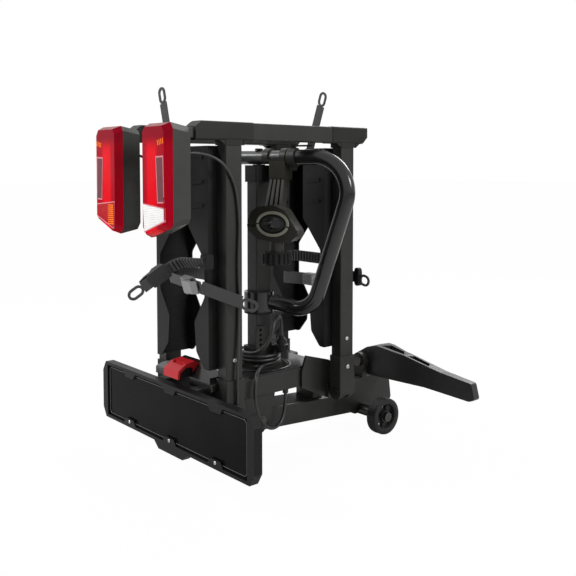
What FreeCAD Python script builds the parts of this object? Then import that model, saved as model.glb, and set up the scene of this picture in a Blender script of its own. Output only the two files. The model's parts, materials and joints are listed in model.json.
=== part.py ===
"""Folded two-bike carrier for a tow ball: one STEP file per piece.

Frame: the origin is the centre of the tow ball that the coupling grips. +Z is up,
+Y points to the car, so the number-plate board faces -Y, and +X is the right-hand
side seen from behind. The carrier is folded: both wings stand up beside the column.
All sizes are millimetres.
"""
import FreeCAD
import Part
import math
import os

V = FreeCAD.Vector
os.makedirs("parts", exist_ok=True)

# Clearances
RUN_GAP = 0.05          # radial gap of a shaft that turns in its bore
FIT_GAP = 0.3           # gap between faces that move past each other
WIDE_GAP = 1.0          # gap beside a lever or a pedal

# Tow ball, coupling and drawbar
BALL_D = 50.0
SOCKET_PLAY = 0.2
HOUSING_W = 72.0
HOUSING_REAR_Y = -88.0
HOUSING_FRONT_Y = 48.0
HOUSING_BOTTOM_Z = -28.0
HOUSING_TOP_Z = 58.0
DRAWBAR_W = 80.0
DRAWBAR_H = 48.0
DRAWBAR_WALL = 3.0
DRAWBAR_SLOPE = 3.6     # degrees, down towards the car
DRAWBAR_REAR_Y = -432.0

# Coupling lever
LEVER_AXIS_X = 22.0
LEVER_AXIS_Z = 98.0
LEVER_SHAFT_D = 16.0
LEVER_REAR_Y = -40.0
LEVER_HUB_T = 50.0
LEVER_TIP_T = 20.0
LEVER_REACH = 333.0
LEVER_HUB_R = 34.0
LUG_T = 16.0
LUG_R = 20.0

# Transport wheels
WHEEL_D = 86.0
WHEEL_W = 28.0
WHEEL_OUTER_X = 127.0
WHEEL_Y = -66.0
WHEEL_Z = -17.0
AXLE_D = 16.0
SPOKES = 5

# Platform that tilts on the drawbar
TILT_Y = -400.0
TILT_Z = 28.0
TILT_PIN_D = 14.0
BRACKET_T = 20.0
RAIL_W = 30.0
RAIL_H = 43.0
RAIL_WALL = 3.0
RAIL_FRONT_Y = -200.0
CROSS_D = 36.0
CROSS_H = 38.0
CROSS_WALL = 3.0
CROSS_TOP_Z = 87.0
DECK_T = 4.0

# Wings
POST_X = 112.0
POST_W = 30.0
POST_D = 40.0
POST_WALL = 2.5
REAR_POST_Y = -520.0
FRONT_POST_Y = -203.0
HINGE_Z = 71.0
HINGE_PIN_D = 10.0
FOOT_WALL = 3.0
FOOT_TOP_Z = 152.0
TONGUE_T = 12.0
TONGUE_R = 15.0
BEAM_TOP_Z = 668.0
BEAM_H = 37.0
BEAM_W = 36.0
BEAM_WALL = 2.5
BEAM_REAR_Y = -612.0
BEAM_FRONT_Y = -143.0
CORNER_SIDE = 28.0      # how far a corner casting runs past its post

# Wheel trays
TRAY_W = 84.0
TRAY_WALL = 3.0
TRAY_FLOOR = 4.0
CUP_DEPTH = 73.0
NECK_DEPTH = 14.0
FLARE_DEPTH = 50.0
TIP_DEPTH = 16.0
CUP_BELOW_BEAM = 10.0
CUP_H = 159.0
NECK_TOP_Z = 392.0
NECK_LOW_Z = 318.0
FLARE_TOP_Z = 264.0
FLARE_LOW_Z = 204.0
TRAY_LOW_Z = 172.0

# Column and hoop
COLUMN_W = 35.0
COLUMN_D = 42.0
COLUMN_WALL = 2.5
COLUMN_Y = -355.0
COLUMN_TOP_Z = 580.0
FLANGE_T = 6.0
HOOP_TURN = 22.0        # degrees that the stowed hoop stands off square
HOOP_D = 34.0
HOOP_WALL = 1.9
HOOP_TOP_Z = 600.0
HOOP_ROOT_Z = 279.0
HOOP_KNEE_Z = 262.0
HOOP_KNEE = 131.0       # reach from the column's middle
HOOP_NOSE = 242.5
HOOP_END = 77.4
HOOP_KNEE_R = 55.0
HOOP_NOSE_R = 75.0
BAR_D = 30.0
BAR_BACK = 86.0
BAR_INSERT = 60.0
BAR_WALL = 2.5
COLLAR_L = 27.0
SWIVEL_BOLT_D = 10.0
BUSH_D = 60.0
RING_WALL = 4.0
RING_H = 44.0

# Number-plate board
PLATE_W = 520.0
PLATE_H = 110.0
BOARD_RIM = 24.0        # beside the sheet
BOARD_LIP = 10.0        # above and below it
BOARD_SLANT = 13.0
BOARD_FRONT_Y = -595.0
BOARD_T = 19.0
BOARD_LOW_Z = -1.0
BOARD_CORNER = 22.0
TAB_PITCH = 163.0
SHEET_T = 1.5
SHEET_DEPTH = 5.0
PLATE_ROOM = 2.3          # between the sheet and the tabs, for a number plate

# Lamps
LAMP_W = 90.0
LAMP_INNER_X = 48.0
LAMP_FRONT_Y = -684.0
LENS_DEPTH = 16.0
HOUSING_DEPTH = 43.0
LAMP_TOP_Z = 662.0
LAMP_LOW_Z = 443.0
LAMP_SLOPE = 26.0
LENS_WALL = 2.5
LENS_TAPER = 7.0

# Frame clamp, in the hoop's own frame
CLAMP_FROM = 17.0       # along the bar
CLAMP_BLOCK = 35.0      # clear of the column's cap at any turn
CLAMP_TO = 74.0
CLAMP_OUT = 64.0        # how far the jaws hang out from the bar's plane
JAW_X = 77.0
JAW_Z = 459.0
JAW_T = 32.0
JAW_HINGE_X = 25.0
JAW_HINGE_Z = 463.0
JAW_PIN_D = 6.0
LINER_T = 30.0
MOUTH_W = 62.0
MOUTH_H = 44.0
GRIP_W = 42.0
GRIP_H = 27.0
GRIP_TEETH = 7
KNOB_D = 60.0
KNOB_H = 27.0
KNOB_RIBS = 16
NECK_D = 30.0
JAW_SCREW_D = 10.0

# Foot pedal
PEDAL_W = 54.0
PEDAL_AXIS_Y = -544.0
PEDAL_AXIS_Z = 156.0
PEDAL_PIN_D = 8.0
PEDAL_TRUNNION = 8.0
PEDAL_HOUSING_W = 208.0
PEDAL_HOUSING_WAIST = 184.0
PEDAL_HOUSING_TOP_Z = 176.0

# Straps
STRAP_W = 25.0
STRAP_T = 2.4
TOOTH_PITCH = 5.0
TOOTH_STRAP_Z = 395.0     # where it leaves the tray
TOOTH_STRAP_FALL = 0.75   # rise towards the car, as a share
TOOTH_STRAP_OUT = 66.0    # from the tray's rear wall to the bend of the tail
LOOP_STRAP_Z = 345.0
LOOP_STRAP_FALL = 0.3
LOOP_TAIL_L = 118.0
TOOTH_TAIL_L = 62.0
TAIL_SLOT_W = 13.0
TAIL_SLOT_L = 26.0

# Light cable and its plug
CABLE_D = 7.5
COIL_R = 45.0
COIL_TURNS = 2.75
COIL_PITCH = 8.5
PLUG_D = 32.0
PLUG_X = 48.0
PLUG_Y = -330.0
PLUG_TOP_Z = 204.0
PLUG_TURN = 2.14        # how far round the coil the plug stands
GLAND_X = 66.0
GLAND_Y = -334.0
GLAND_L = 8.0
GLAND_D = 13.0
LAMP_GLAND_X = 119.0
LAMP_GLAND_Z = 606.0
LAMP_GLAND_L = 5.0
GROMMET_TOP_Z = 104.0
GROMMET_W = 14.0


def box(x0, x1, y0, y1, z0, z1):
    """A box from its limits along each axis."""
    return Part.makeBox(x1 - x0, y1 - y0, z1 - z0, V(x0, y0, z0))


def cyl(radius, start, end):
    """A cylinder between two points."""
    run = end - start
    return Part.makeCylinder(radius, run.Length, start, run)


def prism(points, run):
    """A face through the points in order, pushed along the vector run."""
    wire = Part.makePolygon(points + [points[0]])
    return Part.Face(wire).extrude(run)


def mirrored(shape):
    """The same piece on the other side of the middle plane."""
    return shape.mirror(V(0, 0, 0), V(1, 0, 0))


def joined(shapes):
    """One solid from pieces that touch or overlap."""
    return shapes[0].multiFuse(shapes[1:]).removeSplitter()


def rounded(shape, radius, pick):
    """The shape with a fillet on each edge that pick chooses."""
    edges = [edge for edge in shape.Edges if pick(edge)]
    return shape.makeFillet(radius, edges) if edges else shape


def along(edge, axis):
    """True for a straight edge parallel to the axis."""
    if edge.Curve.TypeId != "Part::GeomLine":
        return False
    run = edge.Vertexes[-1].Point - edge.Vertexes[0].Point
    return run.Length > 1e-6 and abs(run.normalize().dot(axis)) > 0.9999


def soft_prism(points, run, radius):
    """A prism whose edges along its run are rounded."""
    shape = prism(points, run)
    axis = V(run).normalize()
    return rounded(shape, radius, lambda edge: along(edge, axis))


def soft_box(x0, x1, y0, y1, z0, z1, axis, radius):
    """A box whose edges along one axis are rounded."""
    shape = box(x0, x1, y0, y1, z0, z1)
    return rounded(shape, radius, lambda edge: along(edge, axis))


def square_tube(x0, x1, y0, y1, z0, z1, axis, wall):
    """A rectangular tube, open at both ends along the axis."""
    outer = soft_box(x0, x1, y0, y1, z0, z1, axis, wall)
    ax, ay, az = abs(axis.x), abs(axis.y), abs(axis.z)
    inx, iny, inz = wall * (1 - ax), wall * (1 - ay), wall * (1 - az)
    inner = box(x0 + inx - ax, x1 - inx + ax, y0 + iny - ay, y1 - iny + ay,
                z0 + inz - az, z1 - inz + az)
    return outer.cut(inner)


def save(name, shapes):
    """Writes one node: a solid, or several equal pieces as separate solids."""
    solids = []
    for shape in shapes:
        solids.extend(shape.Solids)
    for solid in solids:
        if not solid.isValid():
            print("not valid:", name)
    whole = solids[0] if len(solids) == 1 else Part.makeCompound(solids)
    whole.exportStep("parts/" + name + ".step")
    print(name, len(solids), round(sum(s.Volume for s in solids) / 1000, 1), "cm3")


X = V(1, 0, 0)
Y = V(0, 1, 0)
Z = V(0, 0, 1)

# Places that several pieces share
cross_low_z = CROSS_TOP_Z - CROSS_H
rail_low_z = CROSS_TOP_Z
rail_rear_y = BOARD_FRONT_Y + BOARD_T
rail_top_z = rail_low_z + RAIL_H
deck_top_z = rail_top_z + DECK_T
rail_inner_x = DRAWBAR_W / 2 + 4
rail_outer_x = rail_inner_x + RAIL_W
post_inner_x = POST_X - POST_W / 2
post_outer_x = POST_X + POST_W / 2
slope = math.radians(DRAWBAR_SLOPE)
foot_inner_x = post_inner_x - FOOT_WALL
foot_outer_x = post_outer_x + FOOT_WALL
foot_half_y = POST_D / 2 + FOOT_WALL
hinge_r = POST_W / 2 + FOOT_WALL
socket_z = HINGE_Z + TONGUE_R + 3
beam_low_z = BEAM_TOP_Z - BEAM_H
cup_top_z = beam_low_z - CUP_BELOW_BEAM
cup_low_z = cup_top_z - CUP_H
board_top_z = BOARD_LOW_Z + PLATE_H + 2 * BOARD_LIP
sheet_low_z = BOARD_LOW_Z + BOARD_LIP


def drawbar():
    """The sloping box beam, with the pin's bore and the pad under the front crossmember."""
    length = (HOUSING_REAR_Y - DRAWBAR_REAR_Y) / math.cos(slope)
    tube = square_tube(-DRAWBAR_W / 2, DRAWBAR_W / 2, 0, length + 20,
                       -DRAWBAR_H / 2, DRAWBAR_H / 2, Y, DRAWBAR_WALL)
    rear_z = TILT_Z - 6 + (TILT_Y - DRAWBAR_REAR_Y) * math.tan(slope)
    tube.rotate(V(0, 0, 0), X, -DRAWBAR_SLOPE)
    tube.translate(V(0, DRAWBAR_REAR_Y, rear_z))
    ahead = box(-60, 60, HOUSING_REAR_Y, HOUSING_REAR_Y + 60, -80, 120)
    bore = cyl(TILT_PIN_D / 2 + RUN_GAP, V(-60, TILT_Y, TILT_Z), V(60, TILT_Y, TILT_Z))
    tube = tube.cut(ahead).cut(bore)
    top = rear_z + DRAWBAR_H / 2 - (FRONT_POST_Y - DRAWBAR_REAR_Y) * math.tan(slope)
    pad = soft_box(-30, 30, FRONT_POST_Y - 14, FRONT_POST_Y + 14, top - 1.2, cross_low_z, Y, 1.0)
    return joined([tube, pad])


def housing_holes():
    """What the coupling housing leaves free: ball, jaw slot, axle and lever shaft."""
    ball_r = BALL_D / 2 + SOCKET_PLAY
    ball = Part.makeSphere(ball_r).fuse(cyl(ball_r, V(0, 0, 0), V(0, 0, HOUSING_BOTTOM_Z - 5)))
    jaw = box(-17, 17, -46, 0, HOUSING_BOTTOM_Z - 5, 18)
    axle = cyl(AXLE_D / 2 + RUN_GAP, V(-60, WHEEL_Y, WHEEL_Z), V(60, WHEEL_Y, WHEEL_Z))
    shaft = cyl(LEVER_SHAFT_D / 2 + RUN_GAP, V(LEVER_AXIS_X, -90, LEVER_AXIS_Z),
                V(LEVER_AXIS_X, 60, LEVER_AXIS_Z))
    return joined([ball, jaw]).fuse([axle, shaft])


def lug(rear_y):
    """An ear that carries the lever's shaft."""
    foot = prism([V(LEVER_AXIS_X - LUG_R - 8, rear_y, HOUSING_TOP_Z - 2),
                  V(HOUSING_W / 2, rear_y, HOUSING_TOP_Z - 2),
                  V(LEVER_AXIS_X + LUG_R * 0.8, rear_y, LEVER_AXIS_Z + LUG_R * 0.6),
                  V(LEVER_AXIS_X - LUG_R * 0.8, rear_y, LEVER_AXIS_Z + LUG_R * 0.6)],
                 V(0, LUG_T, 0))
    eye = cyl(LUG_R, V(LEVER_AXIS_X, rear_y, LEVER_AXIS_Z),
              V(LEVER_AXIS_X, rear_y + LUG_T, LEVER_AXIS_Z))
    return foot.fuse(eye)


def coupling_housing():
    """The cast body over the tow ball."""
    half = HOUSING_W / 2
    side = [V(-half, HOUSING_REAR_Y, HOUSING_BOTTOM_Z), V(-half, HOUSING_FRONT_Y - 14, HOUSING_BOTTOM_Z),
            V(-half, HOUSING_FRONT_Y, -8), V(-half, HOUSING_FRONT_Y - 6, 34),
            V(-half, HOUSING_FRONT_Y - 22, HOUSING_TOP_Z), V(-half, HOUSING_REAR_Y, HOUSING_TOP_Z)]
    body = soft_prism(side, V(HOUSING_W, 0, 0), 6.0)
    rear_lug = lug(LEVER_REAR_Y - WIDE_GAP - LUG_T)
    front_lug = lug(LEVER_REAR_Y + LEVER_HUB_T + WIDE_GAP)
    whole = joined([body, rear_lug, front_lug])
    return whole.cut(housing_holes())


def ball_jaw():
    """The sliding jaw that presses on the back of the ball."""
    block = soft_box(-17 + FIT_GAP, 17 - FIT_GAP, -46 + 7, -8, HOUSING_BOTTOM_Z + 2,
                     18 - FIT_GAP, Y, 3.0)
    ball = Part.makeSphere(BALL_D / 2 + SOCKET_PLAY + FIT_GAP)
    below = cyl(BALL_D / 2 + SOCKET_PLAY + FIT_GAP, V(0, 0, 0), V(0, 0, -60))
    return block.cut(ball).cut(below)


def lever_shaft():
    """The bright shaft with its end caps."""
    rear = LEVER_REAR_Y - WIDE_GAP - LUG_T - 3
    front = LEVER_REAR_Y + LEVER_HUB_T + WIDE_GAP + LUG_T + 3
    axis = V(LEVER_AXIS_X, 0, LEVER_AXIS_Z)
    rod = cyl(LEVER_SHAFT_D / 2, axis + V(0, rear, 0), axis + V(0, front, 0))
    cap_r = LEVER_SHAFT_D / 2 + 4
    cap_rear = cyl(cap_r, axis + V(0, rear - 3, 0), axis + V(0, rear + 3 - FIT_GAP, 0))
    cap_front = cyl(cap_r, axis + V(0, front - 3 + FIT_GAP, 0), axis + V(0, front + 3, 0))
    return joined([rod, cap_rear, cap_front])


def lever_outline():
    """The lever seen from behind, from its hub to its flattened tip."""
    ax, az = LEVER_AXIS_X, LEVER_AXIS_Z
    tip = ax + LEVER_REACH
    return [V(ax - 26, 0, az + 12), V(ax + 12, 0, az + 34), V(ax + 42, 0, az + 42),
            V(ax + 132, 0, az + 34), V(ax + 240, 0, az + 14), V(tip - 8, 0, az + 5),
            V(tip + 2, 0, az - 30), V(tip - 14, 0, az - 36), V(ax + 195, 0, az - 30),
            V(ax + 88, 0, az - 33), V(ax + 10, 0, az - 34), V(ax - 24, 0, az - 16)]


def coupling_lever():
    """The long moulded lever: deep at its hub, thin at its tip."""
    rear = LEVER_REAR_Y
    face = prism([p + V(0, rear - 5, 0) for p in lever_outline()], V(0, LEVER_HUB_T + 10, 0))
    face = rounded(face, 7.0, lambda e: along(e, Y))
    tip = LEVER_AXIS_X + LEVER_REACH + 10
    plan = prism([V(-60, rear, -20), V(tip, rear + 2, -20), V(tip, rear + LEVER_TIP_T, -20),
                  V(LEVER_AXIS_X + 120, rear + LEVER_TIP_T + 10, -20),
                  V(LEVER_AXIS_X + 60, rear + LEVER_HUB_T, -20), V(-60, rear + LEVER_HUB_T, -20)],
                 V(0, 0, 260))
    body = face.common(plan)
    wide = prism([V(LEVER_AXIS_X + 48, rear + 12, 0), V(LEVER_AXIS_X + 128, rear + 8, 0),
                  V(LEVER_AXIS_X + 112, rear + 26, 0), V(LEVER_AXIS_X + 60, rear + 38, 0)], V(0, 0, 40))
    wide.translate(V(0, 0, LEVER_AXIS_Z + 18))
    narrow = prism([V(LEVER_AXIS_X + 140, rear + 6, 0), V(LEVER_AXIS_X + 204, rear + 6, 0),
                    V(LEVER_AXIS_X + 196, rear + 20, 0), V(LEVER_AXIS_X + 146, rear + 24, 0)], V(0, 0, 40))
    narrow.translate(V(0, 0, LEVER_AXIS_Z + 8))
    body = body.cut(wide).cut(narrow)
    bore = cyl(LEVER_SHAFT_D / 2, V(LEVER_AXIS_X, -90, LEVER_AXIS_Z), V(LEVER_AXIS_X, 90, LEVER_AXIS_Z))
    return body.cut(bore)


def wheel_axle():
    """The axle with its thick middle sleeves and its end caps."""
    inner = WHEEL_OUTER_X - WHEEL_W - WIDE_GAP
    outer = WHEEL_OUTER_X + WIDE_GAP
    at = V(0, WHEEL_Y, WHEEL_Z)
    rod = cyl(AXLE_D / 2, at - X * outer, at + X * outer)
    pieces = [rod]
    for side in (-1, 1):
        near, far = side * (HOUSING_W / 2), side * inner
        pieces.append(cyl(AXLE_D / 2 + 5, at + X * near, at + X * far))
        pieces.append(cyl(AXLE_D / 2 + 3, at + X * side * outer, at + X * side * (outer + 3)))
    return joined(pieces)


def wheel():
    """A moulded five-spoke wheel with a solid tyre, on the right."""
    inner, outer = WHEEL_OUTER_X - WHEEL_W, WHEEL_OUTER_X
    radius = WHEEL_D / 2
    half = [V(inner + 3, AXLE_D / 2 + RUN_GAP, 0), V(outer - 3, AXLE_D / 2 + RUN_GAP, 0),
            V(outer - 3, 15, 0), V(outer - 9, 17, 0), V(outer - 9, 27, 0), V(outer - 3, 29, 0),
            V(outer, 32, 0), V(outer, radius - 6, 0), V(outer - 6, radius, 0),
            V(inner + 6, radius, 0), V(inner, radius - 6, 0), V(inner, 32, 0),
            V(inner + 3, 29, 0), V(inner + 9, 27, 0), V(inner + 9, 17, 0), V(inner + 3, 15, 0)]
    body = Part.Face(Part.makePolygon(half + [half[0]])).revolve(V(0, 0, 0), X, 360)
    opening = prism([V(inner - 1, 16, -3.5), V(inner - 1, 26, -9), V(inner - 1, 26, 9),
                     V(inner - 1, 16, 3.5)], V(WHEEL_W + 2, 0, 0))
    for number in range(SPOKES):
        hole = opening.copy()
        hole.rotate(V(0, 0, 0), X, 360.0 / SPOKES * number + 18)
        body = body.cut(hole)
    body.translate(V(0, WHEEL_Y, WHEEL_Z))
    return body


def side_rails():
    """Both rails with their front gussets and tilt brackets, welded together."""
    rail = square_tube(rail_inner_x, rail_outer_x, rail_rear_y, RAIL_FRONT_Y,
                       rail_low_z, rail_top_z, Y, RAIL_WALL)
    x0 = rail_outer_x
    front = FRONT_POST_Y - CROSS_D / 2
    gusset = prism([V(x0, front - 76, rail_low_z - 2), V(x0, front - 76, rail_top_z - 8),
                    V(x0, front - 62, rail_top_z + 26), V(x0, front + 8, rail_top_z + 6),
                    V(x0, front + 20, rail_top_z - 6), V(x0, front + 20, cross_low_z - 1),
                    V(x0, front + 4, cross_low_z - 1)], V(6, 0, 0))
    gusset = gusset.cut(box(x0 - 1, x0 + 10, front - 0.2, front + 60, cross_low_z - 5, CROSS_TOP_Z))
    inner_x = rail_inner_x - 2
    outline = [V(inner_x, TILT_Y - 44, rail_low_z), V(inner_x, TILT_Y - 34, TILT_Z - 22),
               V(inner_x, TILT_Y - 20, TILT_Z - 30), V(inner_x, TILT_Y + 6, TILT_Z - 26),
               V(inner_x, TILT_Y + 26, TILT_Z - 6), V(inner_x, TILT_Y + 40, rail_low_z)]
    bracket = soft_prism(outline, V(BRACKET_T, 0, 0), 5.0)
    bore = cyl(TILT_PIN_D / 2 + RUN_GAP, V(0, TILT_Y, TILT_Z), V(100, TILT_Y, TILT_Z))
    left = joined([rail, gusset, bracket.cut(bore)])
    gland = cyl(GLAND_D / 2, V(GLAND_X, GLAND_Y, rail_low_z - GLAND_L), V(GLAND_X, GLAND_Y, rail_low_z + 1))
    return [joined([left, gland]), mirrored(left)]


def tilt_pin():
    """The long bolt on which the platform tilts."""
    outer = rail_inner_x - 2 + BRACKET_T
    at = V(0, TILT_Y, TILT_Z)
    rod = cyl(TILT_PIN_D / 2, at - X * outer, at + X * outer)
    pieces = [rod]
    for side in (-1, 1):
        pieces.append(cyl(11.0, at + X * side * outer, at + X * side * (outer + 4)))
        pieces.append(cyl(7.5, at + X * side * (outer + 3), at + X * side * (outer + 9)))
    return joined(pieces)


def crossmember(centre_y):
    """A cross tube whose end tongues carry the wing hinges."""
    half = post_inner_x - FOOT_WALL - 8
    y0, y1 = centre_y - CROSS_D / 2, centre_y + CROSS_D / 2
    tube = square_tube(-half, half, y0, y1, cross_low_z, CROSS_TOP_Z, X, CROSS_WALL)
    pieces = [tube]
    for side in (-1, 1):
        eye = V(side * POST_X, centre_y - TONGUE_T / 2, HINGE_Z)
        plate = box(min(side * (half - 30), side * POST_X), max(side * (half - 30), side * POST_X),
                    centre_y - TONGUE_T / 2, centre_y + TONGUE_T / 2,
                    HINGE_Z - TONGUE_R, HINGE_Z + TONGUE_R)
        ring = cyl(TONGUE_R, eye, eye + V(0, TONGUE_T, 0))
        end = box(min(side * (half - 4), side * half), max(side * (half - 4), side * half),
                  y0 + 1, y1 - 1, cross_low_z + 1, CROSS_TOP_Z - 1)
        pieces.extend([plate, ring, end])
    whole = joined(pieces)
    for side in (-1, 1):
        eye = V(side * POST_X, centre_y - 30, HINGE_Z)
        whole = whole.cut(cyl(HINGE_PIN_D / 2 + RUN_GAP, eye, eye + V(0, 60, 0)))
    return whole


def deck():
    """The flat plate over the rails that carries the column."""
    half = rail_outer_x
    y0, y1 = REAR_POST_Y + CROSS_D / 2 + 8, FRONT_POST_Y - CROSS_D / 2 - 8
    plate = soft_box(-half, half, y0, y1, rail_top_z, deck_top_z, Z, 8.0)
    return plate


def column():
    """The box column that stands on the deck."""
    half_w, half_d = COLUMN_W / 2, COLUMN_D / 2
    return square_tube(-half_w, half_w, COLUMN_Y - half_d, COLUMN_Y + half_d,
                       deck_top_z, COLUMN_TOP_Z, Z, COLUMN_WALL)


def column_base():
    """The cast shoe round the foot of the column, with its toothed side plate."""
    half_w, half_d = COLUMN_W / 2, COLUMN_D / 2
    shoe = soft_box(-half_w - 7, half_w + 7, COLUMN_Y - half_d - 7, COLUMN_Y + half_d + 7,
                    deck_top_z, deck_top_z + 44, Z, 6.0)
    flange = soft_box(-half_w - 20, half_w + 20, COLUMN_Y - half_d - 18, COLUMN_Y + half_d + 18,
                      deck_top_z, deck_top_z + FLANGE_T, Z, 10.0)
    web_y = COLUMN_Y - half_d - 6
    web = prism([V(half_w + 1, web_y, deck_top_z + 40), V(half_w + 1, web_y, deck_top_z + 92),
                 V(half_w + 1, COLUMN_Y - 4, deck_top_z + 92),
                 V(half_w + 1, COLUMN_Y + half_d, deck_top_z + 40)], V(5, 0, 0))
    for number in range(4):
        z = deck_top_z + 50 + number * 11
        web = web.cut(cyl(3.2, V(0, COLUMN_Y - half_d + 6, z), V(60, COLUMN_Y - half_d + 6, z)))
    whole = joined([shoe, flange, web])
    inside = box(-half_w, half_w, COLUMN_Y - half_d, COLUMN_Y + half_d, deck_top_z - 1, deck_top_z + 200)
    return whole.cut(inside)


def turned(shape):
    """From the hoop's own frame, X along its bar, to its stowed place."""
    moved = shape.copy()
    moved.rotate(V(0, 0, 0), Z, HOOP_TURN)
    moved.translate(V(0, COLUMN_Y, 0))
    return moved


def hoop_route():
    """The middle line of the hoop, in its own frame."""
    points = [V(BUSH_D / 2 + RING_WALL / 2, 0, HOOP_ROOT_Z), V(HOOP_KNEE, 0, HOOP_KNEE_Z),
              V(HOOP_NOSE, 0, HOOP_TOP_Z), V(HOOP_END, 0, HOOP_TOP_Z)]
    return bent_route(points, [HOOP_KNEE_R, HOOP_NOSE_R])


def bent_route(points, radii):
    """Straight runs joined by tangent arcs of the given radii."""
    edges = []
    here = points[0]
    for number in range(1, len(points) - 1):
        corner = points[number]
        back = (points[number - 1] - corner).normalize()
        on = (points[number + 1] - corner).normalize()
        half = math.acos(max(-1.0, min(1.0, back.dot(on)))) / 2
        reach = radii[number - 1] / math.tan(half)
        first, last = corner + back * reach, corner + on * reach
        middle_way = (back + on).normalize()
        centre = corner + middle_way * (radii[number - 1] / math.sin(half))
        middle = centre - middle_way * radii[number - 1]
        edges.append(Part.makeLine(here, first))
        edges.append(Part.Arc(first, middle, last).toShape())
        here = last
    edges.append(Part.makeLine(here, points[-1]))
    return Part.Wire(edges)


def pipe(route, radius):
    """A round solid along a route, in default mode."""
    first = route.OrderedEdges[0]
    start = first.valueAt(first.FirstParameter)
    heading = first.tangentAt(first.FirstParameter)
    ring = Part.Wire(Part.makeCircle(radius, start, heading))
    return route.makePipeShell([ring], True, False)


def hoop():
    """The bent tube, welded to the ring that turns on the column's bush."""
    route = hoop_route()
    tube = pipe(route, HOOP_D / 2).cut(pipe(route, HOOP_D / 2 - HOOP_WALL))
    low = HOOP_ROOT_Z - RING_H / 2
    ring_r = BUSH_D / 2 + RUN_GAP
    ring = cyl(ring_r + RING_WALL, V(0, 0, low), V(0, 0, low + RING_H))
    room = cyl(ring_r, V(0, 0, low - 1), V(0, 0, low + RING_H + 1))
    return joined([tube, ring]).cut(room)


def column_bush():
    """The round bush on the square column that the hoop's ring turns on."""
    low = HOOP_ROOT_Z - RING_H / 2
    half_w, half_d = COLUMN_W / 2, COLUMN_D / 2
    body = cyl(BUSH_D / 2, V(0, COLUMN_Y, low), V(0, COLUMN_Y, low + RING_H))
    rim_top = low - FIT_GAP
    rim = cyl(BUSH_D / 2 + RING_WALL, V(0, COLUMN_Y, rim_top - 4), V(0, COLUMN_Y, rim_top))
    neck = cyl(BUSH_D / 2, V(0, COLUMN_Y, rim_top - 4), V(0, COLUMN_Y, low + 1))
    inside = box(-half_w, half_w, COLUMN_Y - half_d, COLUMN_Y + half_d, low - 10, low + RING_H + 1)
    return joined([body, neck, rim]).cut(inside)


def hoop_collar():
    """The clamping collar where the thinner bar leaves the hoop."""
    end = HOOP_END
    face_x, back_x = end - 2, end + COLLAR_L - 9
    ring = cyl(HOOP_D / 2 + 4, V(face_x, 0, 0), V(back_x, 0, 0))
    ring = ring.makeChamfer(2.0, [edge for edge in ring.Edges if edge.CenterOfMass.x < face_x + 0.1])
    ring = ring.cut(cyl(BAR_D / 2, V(face_x - 1, 0, 0), V(end + 1, 0, 0)))
    ring = ring.cut(cyl(HOOP_D / 2, V(end, 0, 0), V(back_x + 1, 0, 0)))
    slot = box(end - 4, end + COLLAR_L, -1.5, 1.5, -HOOP_D, 0)
    ring = ring.cut(slot)
    for side in (-1, 1):
        y0 = 1.5 if side > 0 else -6.5
        ear = soft_box(end + 1, end + 15, y0, y0 + 5, -HOOP_D / 2 - 12, -HOOP_D / 2 - 1, Y, 3.0)
        ring = ring.fuse(ear)
    screw = cyl(2.5, V(end + 8, -9, -HOOP_D / 2 - 8), V(end + 8, 9, -HOOP_D / 2 - 8))
    stud = cyl(4.0, V(end + 8, 0, HOOP_D / 2 + 1), V(end + 8, 0, HOOP_D / 2 + 11))
    seat = cyl(7.0, V(end + 8, 0, HOOP_D / 2 + 0.5), V(end + 8, 0, HOOP_D / 2 + 5.5))
    whole = joined([ring, screw, stud, seat])
    whole.translate(V(0, 0, HOOP_TOP_Z))
    return whole


def collar_lever():
    """The quick-release lever of the collar, lying along the hoop."""
    x, z = HOOP_END + 8, HOOP_TOP_Z + HOOP_D / 2 + 5.5 + FIT_GAP
    hub = cyl(9.0, V(x, 0, z), V(x, 0, z + 5))
    blade_face = [V(x, -7, z + 0.5), V(x + 30, -8, z + 0.5), V(x + 50, -6, z + 0.5),
                  V(x + 50, 6, z + 0.5), V(x + 30, 8, z + 0.5), V(x, 7, z + 0.5)]
    handle = soft_prism(blade_face, V(0, 0, 3.5), 4.0)
    return joined([hub, handle]).cut(cyl(4.0 + RUN_GAP, V(x, 0, z - 1), V(x, 0, z + 6)))


def upper_bar():
    """The thinner bar that runs from inside the hoop back over the column."""
    bar = cyl(BAR_D / 2, V(-BAR_BACK, 0, HOOP_TOP_Z), V(HOOP_END + BAR_INSERT - 20, 0, HOOP_TOP_Z))
    bore = cyl(BAR_D / 2 - BAR_WALL, V(-BAR_BACK + 6, 0, HOOP_TOP_Z),
               V(HOOP_END + BAR_INSERT, 0, HOOP_TOP_Z))
    through = cyl(SWIVEL_BOLT_D / 2 + RUN_GAP, V(0, 0, HOOP_TOP_Z - 40), V(0, 0, HOOP_TOP_Z + 40))
    return bar.cut(bore).cut(through)


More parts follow.
